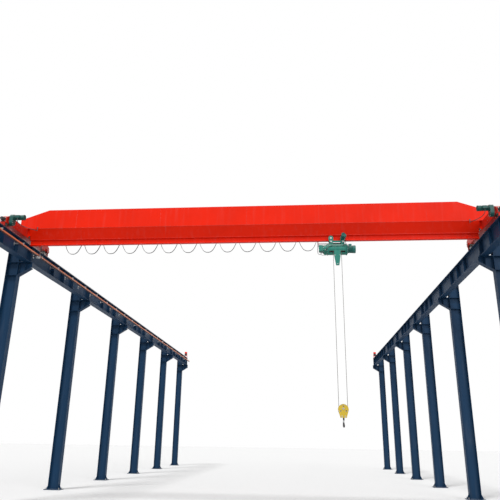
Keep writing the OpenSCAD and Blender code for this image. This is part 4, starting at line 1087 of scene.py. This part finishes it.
cabinetValues = dict(
    doorIn=0.030, doorBack=0.004, doorOut=0.012, hoodOut=(0.025, 0.045), hoodBack=0.035, hoodHigh=0.018,
    hoodFall=0.012, hinges=3, hingeZ=0.09, hinge=(0.022, 0.008, 0.028, 0.009), vents=7, ventZ=0.075,
    ventPitch=0.020, ventIn=0.16, ventOut=(0.010, 0.020), ventLean=0.009, ventHigh=0.010,
    lock=(0.075, 0.30), lockPlate=(0.010, 0.018, 0.022), lever=(0.007, 0.038, 0.025),
    glandXs=(-0.27, -0.18, -0.09, 0.0), glandIn=0.11, glandHigh=0.024, gland=0.016)


def makeCabinetDetails(v):
    low, high = ends('control_cabinet')
    y, inset = high.y, v['doorIn']
    parts = [block((low.x + inset, y - v['doorBack'], low.z + inset),
                   (high.x - inset, y + v['doorOut'], high.z - inset), caseEdge)]
    side, front = v['hoodOut']
    hood = block((low.x - side, bridgeY + boxHalf + v['hoodBack'], high.z),
                 (high.x + side, y + front, high.z + v['hoodHigh']))
    choose(hood, 'faces', lambda f: f.normal.y > 0.9)
    bpy.ops.transform.translate(value=(0, 0, -v['hoodFall']))
    leaveEdit()
    parts.append(bevelAll(hood, plateEdge, 1))
    inX, out, half, radius = v['hinge']
    for i in range(v['hinges']):
        z = low.z + v['hingeZ'] + i * (high.z - low.z - 2 * v['hingeZ']) / (v['hinges'] - 1)
        parts.append(stub((high.x - inX, y + out, z - half), (0, 0, 2 * half), radius, 12, hairEdge))
    near, far = v['ventOut']
    for i in range(v['vents']):
        z = low.z + v['ventZ'] + i * v['ventPitch']
        slat = block((low.x + v['ventIn'], y + near, z), (high.x - v['ventIn'], y + far, z + v['ventHigh']))
        rim = Vector((0, y + far - 0.001, z + v['ventHigh'] - 0.001))
        choose(slat, 'edges', lambda e: all(q.co.y > rim.y and q.co.z > rim.z for q in e.verts))
        bpy.ops.transform.translate(value=(0, -v['ventLean'], 0))
        leaveEdit()
        parts.append(slat)
    finish(smooth(joinAll(parts, 'cabinetDetails')), paint['cabinetGrey'], 'bridge')
    # round plate of the lock, its lever, and the cables' glands under the cabinet
    x, z = low.x + v['lock'][0], low.z + v['lock'][1]
    foot, top, radius = v['lockPlate']
    half, out, tall = v['lever']
    grip = [stub((x, y + foot, z), (0, top - foot, 0), radius, 24, smallEdge),
            block((x - half, y + top, z - tall), (x + half, y + out, z + tall), caseEdge)]
    for dx in v['glandXs']:
        foot = ((low.x + high.x) / 2 + dx, y - v['glandIn'], low.z - v['glandHigh'])
        grip.append(stub(foot, (0, 0, v['glandHigh']), v['gland'], 6, smallEdge))
    joined('cabinetFittings', grip, blackRubber, 'bridge')


wiringValues = dict(
    feedRun=((0.03, 0, 0), (-0.05, 0, 0), (-0.155, 0, 0.05), (-0.165, 0, 0.20), (-0.08, 0.02, 0.31)),
    feedEnd=(-0.05, 0, -0.08), conduit=0.013, conduitZ=9.445, conduitEnd=7.70, conduitDown=0.035,
    conduitTurn=(0.10, 0.03, 0.007), conduitOut=0.22, glandLow=0.02, feed=0.0065, feedOut=0.00845,
    clipHalf=0.012, clipHigh=0.030, clipOut=0.028, clipClear=0.5, clipFirst=-7.5, clipPitch=1.0, clips=16,
    trackBolt=(0.018, 0.008), trackZ=9.49, trackOut=0.006, trackPitch=1.8, trackEnds=(0.16, 0.09))


def makeBridgeWiring(v):
    low, high = ends('control_cabinet')
    cx, gy, gz = (low.x + high.x) / 2, high.y - cabinetValues['glandIn'], low.z - v['glandLow']
    feedX, leftX, rightX = cabinetValues['glandXs'][:3]
    yc, zc = bridgeY + boxHalf + v['conduit'], v['conduitZ']
    dx, dy, dz = v['conduitTurn']
    pipes = []
    for s, x in ((-1, cx + leftX), (1, cx + rightX)):
        path = [(x, gy, gz), (x, gy, gz - v['conduitDown']), (x + s * dx, yc + dy, zc + dz)]
        path += [(x + s * v['conduitOut'], yc, zc), (s * v['conduitEnd'], yc, zc)]
        pipes.append(tube(path, v['conduit']))
    joined('girderConduits', pipes, zincSteel, 'bridge')
    # from the festoon's fixed clamp, round the end of its track and up to the cabinet
    (cableLow, cableHigh), half = ends('festoon_cable'), festoonValues['cableHalf']
    clamp = Vector((cableLow.x + half, (cableLow.y + cableHigh.y) / 2, cableHigh.z - half))
    gland = Vector((cx + feedX, gy, gz))
    path = [clamp + Vector(p) for p in v['feedRun']] + [gland + Vector(v['feedEnd']), gland]
    sides = [Vector((0, s * v['feedOut'], 0)) for s in both]
    feeds = [tube([q + side for q in path], v['feed'], 8) for side in sides]
    joined('feedCables', feeds, cableRubber, 'bridge')
    # from the collector's shoe up its post and over to the conduit
    low, high = ends('current_collector')
    face, y = high.x + v['feed'] + 0.001, (low.y + high.y) / 2
    path = [(face - 0.05, y + 0.085, low.z + 0.050), (face, y + 0.070, low.z + 0.060)]
    path += [(face, y, z) for z in (low.z + 0.14, low.z + 0.20, high.z - 0.26, high.z - 0.20)]
    path += [(face + 0.03, y - 0.01, high.z - 0.04), (-7.78, yc + 0.05, zc - 0.025), (-7.69, yc, zc)]
    lead = [tube(path, v['feed'], 8)]
    for z in (low.z + 0.17, high.z - 0.23):
        far = face + v['feed'] + 0.002
        lead.append(block((face - 0.036, y - 0.022, z), (far, y + 0.022, z + 0.008), hairEdge))
    joined('collectorLead', lead, cableRubber, 'bridge')
    a, b = v['clipHalf'], v['clipHigh']
    clip = block((-a, -0.001, -b), (a, v['clipOut'], b), plateEdge)
    xs = [v['clipFirst'] + v['clipPitch'] * i for i in range(v['clips'])]
    places = [at(x, bridgeY + boxHalf, zc) for x in xs if abs(x - cx) > v['clipClear']]
    placed('conduitClips', clip, places, zincSteel, 'bridge')
    low, high = ends('festoon_track')
    first, last = low.x + v['trackEnds'][0], high.x - v['trackEnds'][1]
    count = math.ceil((last - first) / v['trackPitch'])
    places = [facingY(1, first + v['trackPitch'] * i, bridgeY + boxHalf + v['trackOut'], v['trackZ'])
              for i in range(count)]
    bolted('trackBolts', v['trackBolt'], places, 'bridge')


makeTravelDrives(driveValues)
makeCabinetDetails(cabinetValues)
makeBridgeWiring(wiringValues)
print("drives and cabinet dressed")

# Hoist: coil on the drum, bolts, covers, cables
coilValues = dict(
    steps=96, pitch=0.0175, radius=0.144, first=0.14, last=0.262, diameter=0.0146, clampOut=0.003,
    clamp=((-0.014, -0.018, 0), (0.014, 0.018, 0.012)))
hoistValues = dict(
    motorEye=(0.392, 0, 0.131), gearEye=(-0.41, 0, 0.157), rimBolt=(0.014, 0.006),
    leftRim=(-1, 0.34, (0.202, 9, 20)), rightRim=(1, 0.34, (0.202, 9, 20)),
    motorFlange=(1, 0.370, (0.150, 15, 12)), gearFlange=(-1, 0.468, (0.143, 15, 12)), cover=(0.012, 0.058),
    coverScrews=(0.046, 45, 4, 0.012, 0.017), coverTilt=62, coverOut=0.193, coverXs=(-0.23, 0.23),
    cowl=(0.139, 0.050, 6, 8), cowlX=0.592, lid=(0.124, 0.104), lidX=0.46, lidZ=0.176)


def fromHoist(x, y, z):
    return Vector((hoistX + x, bridgeY + y, drumZ + z))


def onHoist(x, y, z):
    return at(*fromHoist(x, y, z))


def makeDrumCoil(v):
    # rope wound on both halves of the drum, from the falls outwards
    obs = []
    turns = (v['last'] - v['first']) / v['pitch']
    count = int(turns * v['steps'])
    for s in both:
        path = []
        for i in range(count + 1):
            a = math.pi + s * 2 * math.pi * turns * i / count
            x = s * (v['first'] + (v['last'] - v['first']) * i / count)
            path.append(fromHoist(x, v['radius'] * math.cos(a), -v['radius'] * math.sin(a)))
        obs.append(strandedRope('drumCoil', path, dict(ropeValues, diameter=v['diameter'])))
        end = path[-1]
        out = Vector((0, end.y - bridgeY, end.z - drumZ)).normalized()
        clamp = block(*v['clamp'], smallEdge)
        turn = out.to_track_quat('Z', 'X').to_matrix().to_4x4()
        clamp.data.transform(at(*(end + out * v['clampOut'])) @ turn)
        obs.append(clamp)
    joined('drumCoil', obs, ropeSteel, 'drum')


def screwRing(radius, first, count, low, high, screw=0.005):
    return [rod((a, b, low), (a, b, high), screw, 6) for a, b in ringOf(radius, first, count)]


def makeHousingDetails(v):
    # bolts of both rims, then of the motor's flange and of the gear case's
    places = []
    for name in ('leftRim', 'rightRim', 'motorFlange', 'gearFlange'):
        s, x, ring = v[name]
        places += [onHoist(s * x, a, b) @ turned('Y', 90 * s) for a, b in ringOf(*ring)]
    bolted('housingBolts', v['rimBolt'], places, 'trolley')
    # inspection lids on the near side of the housing
    high, radius = v['cover']
    cover = joinAll([rodUp(0, high, radius, 32, plateEdge)] + screwRing(*v['coverScrews']), 'lid')
    places = [onHoist(x, 0, 0) @ turned('X', v['coverTilt']) @ at(0, 0, v['coverOut']) for x in v['coverXs']]
    placed('housingLids', cover, places, paint['hoistGreen'], 'trolley')


eyeValues = dict(radius=0.020, thick=0.006, neck=0.008, foot=0.012, footWide=2.4)


def eyeBolt(v):
    deselectAll()
    rise = v['radius'] + v['thick'] + v['neck']
    bpy.ops.mesh.primitive_torus_add(major_radius=v['radius'], minor_radius=v['thick'], major_segments=24,
                                     minor_segments=8, location=(0, 0, rise), rotation=(math.pi / 2, 0, 0))
    ring = applyPlace(newPiece('eyeRing'))
    foot = rodUp(0, v['foot'], v['thick'] * v['footWide'], 16, thinEdge)
    return joinAll([smooth(ring, 60), foot], 'eyeBolt')


def makeHoistMotorDetails(v):
    green = paint['motorGreen']
    m = onHoist(v['cowlX'], 0, 0) @ turned('Y', 90)
    placed('hoistCowl', fanCowl(*v['cowl']), [m], green, 'trolley')
    m = onHoist(v['lidX'], 0, v['lidZ']) @ turned('X', -90)
    placed('hoistLid', motorLid(*v['lid']), [m], green, 'trolley')
    places = [onHoist(*v['motorEye']), onHoist(*v['gearEye']) @ turned('Z', 90)]
    placed('liftingEyes', eyeBolt(eyeValues), places, boltSteel, 'trolley')


gearboxValues = dict(
    face=-0.49, ribX=0.012, ribs=(40, 90, 140, 220, 320), ribLow=(-0.014, -0.004, 0.126),
    ribHigh=(0.022, 0.004, 0.152), cover=0.132, coverX=(-0.001, 0.022), plugX=0.085, plugOut=0.156,
    plugs=(0, 110), plug=(0.024, 0.012))


def makeGearboxDetails(v):
    # ribs that stiffen the case, its bearing cover, filler and drain plugs
    parts = []
    for a in v['ribs']:
        rib = block(v['ribLow'], v['ribHigh'], smallEdge)
        rib.data.transform(onHoist(v['face'] + v['ribX'], 0, 0) @ turned('X', a - 90))
        parts.append(rib)
    near, far = v['coverX']
    parts.append(stub(fromHoist(v['face'] + near, 0, 0), (far - near, 0, 0), v['cover'], 40, caseEdge))
    joined('gearRibs', parts, paint['hoistGreen'], 'trolley')
    plugX, out = v['face'] + v['plugX'], v['plugOut']
    places = [onHoist(plugX, 0, 0) @ turned('X', a) @ at(0, 0, out) for a in v['plugs']]
    bolted('oilPlugs', v['plug'], places, 'trolley')


controlValues = dict(
    foot=-0.070, lidHalf=0.100, lidIn=0.016, lidX=(-0.004, 0.010), lipHalf=0.124, lipOut=0.012,
    lipHigh=0.004, hingeY=0.108, hingeHalf=0.020, hinge=0.007, hingeIn=(0.045, 0.050), latchY=-0.084,
    latchIn=0.040, latch=(0.006, 0.009))


def makeControlBoxDetails(v):
    low, high = ends('hoist_control_box')
    foot = drumZ + v['foot']
    back, out = v['lidX']
    # a lid proud of the recess, with a rain lip on top, and two hinges
    parts = [block((low.x + back, bridgeY - v['lidHalf'], foot + v['lidIn']),
                   (low.x + out, bridgeY + v['lidHalf'], high.z - v['lidIn']), caseEdge),
             block((low.x - v['lipOut'], bridgeY - v['lipHalf'], high.z - 0.001),
                   (high.x, bridgeY + v['lipHalf'], high.z + v['lipHigh']), thinEdge)]
    for z in (foot + v['hingeIn'][0], high.z - v['hingeIn'][1]):
        pinFoot = (low.x + back, bridgeY + v['hingeY'], z - v['hingeHalf'])
        parts.append(stub(pinFoot, (0, 0, 2 * v['hingeHalf']), v['hinge'], 12, hairEdge))
    finish(smooth(joinAll(parts, 'controlBoxLid')), paint['hoistGreen'], 'trolley')
    places = [facingX(-1, low.x + back, bridgeY + v['latchY'], z)
              for z in (foot + v['latchIn'], high.z - v['latchIn'])]
    placed('boxLatches', rodUp(0, *v['latch'], 16, hairEdge), places, boltSteel, 'trolley')


# each lead starts at its gland under the control box; its points are taken from the drum's middle
leadValues = dict(
    cable=0.0075, towCable=0.008625, glandX=0.066, glandZ=-0.092, glandIn=0.004, motorY=0.060,
    driveY=-0.060, first=(0, 0.01, -0.05), driveFirst=(0, -0.01, -0.04), glandHigh=0.026, motorGland=0.014,
    driveGland=0.013, driveGlandDown=0.022, driveGlandHigh=0.024,
    motor=((-0.46, 0.150, -0.150), (-0.36, 0.203, -0.060), (-0.28, 0.213, 0.010), (0.28, 0.213, 0.010),
        (0.37, 0.200, 0.080), (0.46, 0.120, 0.135), (0.46, 0.082, 0.135), (0.46, 0.058, 0.135)),
    tow=((-0.64, 0.110, -0.120), (-0.665, 0.180, 0.030), (-0.655, 0.235, 0.190), (-0.652, 0.300, 0.232),
        (-0.650, 0.440, 0.235), (-0.645, 0.440, 0.330), (-0.640, 0.412, 0.480)),
    towEnd=(-0.640, 0.385, -0.115),
    drive=((-0.46, -0.140, -0.145), (-0.37, -0.205, -0.040), (-0.28, -0.2085, 0.05), (0.02, -0.205, 0.065),
        (0.24, -0.205, 0.10), (0.30, -0.235, 0.22)),
    driveEnd=((0.285, -0.30, -0.075), (0.275, -0.31, -0.046)), clipXs=(-0.24, 0.0, 0.24),
    clip=((-0.009, -0.0075, -0.014), (0.009, 0.010, 0.014)), clipYZ=(0.207, 0.010))


def makeHoistCables(v):
    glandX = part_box('hoist_control_box')[0][0] + v['glandX']
    wheelZ = middle('trolley_wheel_1').z

    def leadFrom(y, first, points, radius):
        start = Vector((glandX, bridgeY + y, drumZ + v['glandZ']))
        return tube([start + Vector((0, 0, v['glandIn'])), start + Vector(first)] + points, radius, 8)

    # one cable to each motor and one to the end of the festoon
    cables = [leadFrom(v['motorY'], v['first'], [fromHoist(*p) for p in v['motor']], v['cable']),
              stub(fromHoist(*v['motor'][-1]), (0, v['glandHigh'], 0), v['motorGland'], 6, smallEdge)]
    x, y, z = v['towEnd']
    end = Vector((hoistX + x, bridgeY + y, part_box('festoon_tow_arm')[1][2] + z))
    cables.append(leadFrom(0, v['first'], [fromHoist(*p) for p in v['tow']] + [end], v['towCable']))
    last = [Vector((hoistX + x, bridgeY + y, wheelZ + z)) for x, y, z in v['driveEnd']]
    run = [fromHoist(*p) for p in v['drive']] + last
    cables.append(leadFrom(v['driveY'], v['driveFirst'], run, v['cable']))
    foot = last[1] - Vector((0, 0, v['driveGlandDown']))
    cables.append(stub(foot, (0, 0, v['driveGlandHigh']), v['driveGland'], 6, smallEdge))
    joined('hoistCables', cables, cableRubber, 'trolley')
    clip = block(*v['clip'], smallEdge)
    places = [onHoist(x, *v['clipYZ']) for x in v['clipXs']]
    placed('cableClips', clip, places, zincSteel, 'trolley')


makeDrumCoil(coilValues)
makeHousingDetails(hoistValues)
makeHoistMotorDetails(hoistValues)
makeGearboxDetails(gearboxValues)
makeControlBoxDetails(controlValues)
makeHoistCables(leadValues)
print("hoist dressed")

trolleyValues = dict(
    half=0.205, plateOut=0.112, tieNut=(0.034, 0.016, True, 0.006), tieZ=-0.055, tieOut=0.122, ring=0.036,
    ringHigh=0.005, ringRim=0.0185, ringEdge=0.0012, ringScrews=(0.027, 90, 3, 0.004, 0.009),
    driveLength=0.25, cowlIn=0.004, caseT=0.07, cowl=(0.067, 0.036, 3, 6), lid=(0.094, 0.086),
    lidOut=0.100, lidAt=0.51, flangeRing=0.069, flangeOut=0.022, flangeBolt=(0.013, 0.006, False),
    guideBolt=(0.016, 0.008), guideX=0.090, guideOut=0.034, guideZ=-0.260, guideUp=0.040)


def makeTrolleyDetails(v):
    z = middle('trolley_wheel_1').z
    tieZ, green = beamUnder + v['tieZ'], paint['motorGreen']
    places = [facingY(s, hoistX + a * v['half'], bridgeY + s * v['tieOut'], tieZ)
              for a, s in corners]
    bolted('tieNuts', v['tieNut'], places, 'trolley')
    # ring round each wheel's axle, held by three screws
    ring = rodUp(0, v['ringHigh'], v['ring'], 30)
    choose(ring, 'faces', lambda f: abs(f.normal.z) > 0.9)
    bpy.ops.mesh.inset(thickness=v['ringRim'])
    bpy.ops.mesh.bridge_edge_loops()
    leaveEdit()
    bevelAll(ring, v['ringEdge'], 1)
    ring = joinAll([ring] + screwRing(*v['ringScrews']), 'ring')
    places = [facingY(s, hoistX + a * v['half'], bridgeY + s * v['plateOut'], z)
              for a, s in corners if a < 0 or s > 0]
    placed('axleRings', ring, places, boltSteel, 'trolley')
    x, y = hoistX + v['half'], bridgeY - v['plateOut'] - v['caseT']
    m = facingY(-1, x, y - v['driveLength'] + v['cowlIn'], z)
    placed('trolleyCowl', fanCowl(*v['cowl']), [m], green, 'trolley')
    m = at(x + v['lidOut'], y - v['lidAt'] * v['driveLength'], z) @ turned('Z', 90)
    placed('trolleyLid', motorLid(*v['lid']), [m], green, 'trolley')
    places = [facingY(-1, x + a, y - v['flangeOut'], z + b)
              for a, b in ringOf(v['flangeRing'], 45, 4)]
    bolted('trolleyFlangeBolts', v['flangeBolt'], places, 'trolley')
    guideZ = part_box('rope_guide')[0][2] + v['guideUp']
    spots = [(-v['guideX'], drumZ + v['guideZ']), (v['guideX'], drumZ + v['guideZ']), (0, guideZ)]
    places = [facingY(s, hoistX + dx, hookY + s * v['guideOut'], z)
              for s in both for dx, z in spots]
    bolted('guideBolts', v['guideBolt'], places, 'trolley')


blockValues = dict(
    cheekOut=0.049, radius=0.165, bolt=(0.018, 0.009), boltIn=0.007, boltAngles=(70, 110, -20, 200),
    crossZ=-0.22, crossBolt=(0.052, 0.018), keeperX=0.050, keeperZ=(0.021, 0.043), keeperT=0.006,
    keeperBolt=(0.036, 0.032, 0.008), keeperHead=0.007, band=0.0045, bandSunk=0.001, bandIn=0.004,
    bandArc=(-20, 200), bandSteps=48)


def makeBlockDetails(v):
    cheek = v['cheekOut']
    spots = [ringOf(v['radius'] - v['boltIn'], a, 1)[0] for a in v['boltAngles']]
    spots += [(a * v['crossBolt'][0], v['crossZ'] + b * v['crossBolt'][1]) for a, b in corners]
    places = [facingY(s, hookX + x, hookY + s * cheek, sheaveZ + z) for s in both for x, z in spots]
    bolted('blockBolts', v['bolt'], places, 'block')
    # keeper plates over the grooves of the sheave's axle
    parts, bands = [], []
    dx, dz, radius = v['keeperBolt']
    first, last = v['bandArc']
    arc = [first + (last - first) * i / v['bandSteps'] for i in range(v['bandSteps'] + 1)]
    arc = [ringOf(v['radius'] - v['bandIn'], a, 1)[0] for a in arc]
    for s in both:
        near, far = sorted((hookY + s * cheek, hookY + s * (cheek + v['keeperT'])))
        parts.append(block((hookX - v['keeperX'], near, sheaveZ + v['keeperZ'][0]),
                           (hookX + v['keeperX'], far, sheaveZ + v['keeperZ'][1]), smallEdge))
        for a in both:
            foot = (hookX + a * dx, hookY + s * (cheek + v['keeperT']), sheaveZ + dz)
            parts.append(stub(foot, (0, s * v['keeperHead'], 0), radius))
        # rolled band along the edge of the cheek
        path = [(hookX + x, hookY + s * (cheek - v['bandSunk']), sheaveZ + z) for x, z in arc]
        bands.append(tube(path, v['band'], 1, 8))
    joined('axleKeepers', parts, boltSteel, 'block')
    joined('cheekBands', bands, paint['blockYellow'], 'block')


def makeForgedHook():
    # the hook's own shape, its facets smoothed into one forged skin
    ob = pick(link('forgedHook', nodes['hook'].data.copy()))
    bpy.ops.object.mode_set(mode='EDIT')
    bpy.ops.mesh.select_all(action='SELECT')
    bpy.ops.mesh.remove_doubles(threshold=0.0001)
    leaveEdit()
    finish(smooth(ob, 40), hookSteel, 'hook')
    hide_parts('hook')


latchValues = dict(
    bowlDown=0.430, wide=0.030, thick=0.003, taper=0.55, cheek=0.012, pivot=(-0.020, 0.088),
    nose=(-0.040, 0.016), pin=0.0045, pinOut=0.006, edge=0.0008)


def makeHookLatch(v):
    # sprung sheet latch across the throat: a tapered tongue with folded sides, on a pin through the neck
    top, nose = (Vector((hookX, hookY + a, sheaveZ - v['bowlDown'] + b)) for a, b in (v['pivot'], v['nose']))
    along = nose - top
    w, t = v['wide'] / 2, v['thick'] / 2
    tongue = block((-w, -t, -along.length), (w, t, 0.0))
    choose(tongue, 'faces', lambda f: f.normal.z < -0.9, True)
    bpy.ops.transform.resize(value=(v['taper'], 1, 1))
    choose(tongue, 'faces', lambda f: abs(f.normal.x) > 0.8, True)
    extrudeBy(0, v['cheek'], 0)
    leaveEdit()
    bevelAll(tongue, v['edge'], 1)
    turn = Vector((0, 0, -1)).rotation_difference(along).to_matrix().to_4x4()
    tongue.data.transform(at(*top) @ turn)
    reach = Vector((w + v['pinOut'], 0, 0))
    pin = rod(top - reach, top + reach, v['pin'], 16, v['edge'])
    finish(joinAll([tongue, pin], 'hookLatch'), zincSteel, 'hook')


carrierValues = dict(
    count=12, screwX=0.013, face=0.027, screw=(0.022, 0.031, 0.0055, 0), pin=(0.026, 0.034, 0.011, 0.001))


def makeCarrierDetails(v):
    # strap screws and the saddle's pin on each cable carrier
    for i in range(1, v['count'] + 1):
        name = 'cable_carrier_%d' % i
        x, y, low = middle(name).x, middle(name).y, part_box(name)[0][2]
        parts = []
        spots = [(-v['screwX'], *v['screw']), (v['screwX'], *v['screw']), (0, *v['pin'])]
        for s in both:
            for dx, up, out, radius, edge in spots:
                foot = (x + dx, y + s * v['face'], low + up)
                parts.append(stub(foot, (0, s * (out - v['face']), 0), radius, 6, edge))
        finish(joinAll(parts, 'carrierScrews_%d' % i), boltSteel, name + '_body')


padValues = dict(y=17.905, z=9.2, thick=0.0315, wide=0.1015, high=0.0865, edge=0.006)


def makeStopPads(v):
    obs = []
    for s, e in corners:
        near, far = sorted((e * v['y'], e * (v['y'] - v['thick'])))
        obs.append(block((s * railX - v['wide'], near, v['z'] - v['high']),
                         (s * railX + v['wide'], far, v['z'] + v['high']), v['edge']))
    joined('stopPads', obs, blackRubber, 'runway')


makeTrolleyDetails(trolleyValues)
makeBlockDetails(blockValues)
makeForgedHook()
makeHookLatch(latchValues)
makeCarrierDetails(carrierValues)
makeStopPads(padValues)
print("trolley, block and carriers dressed")
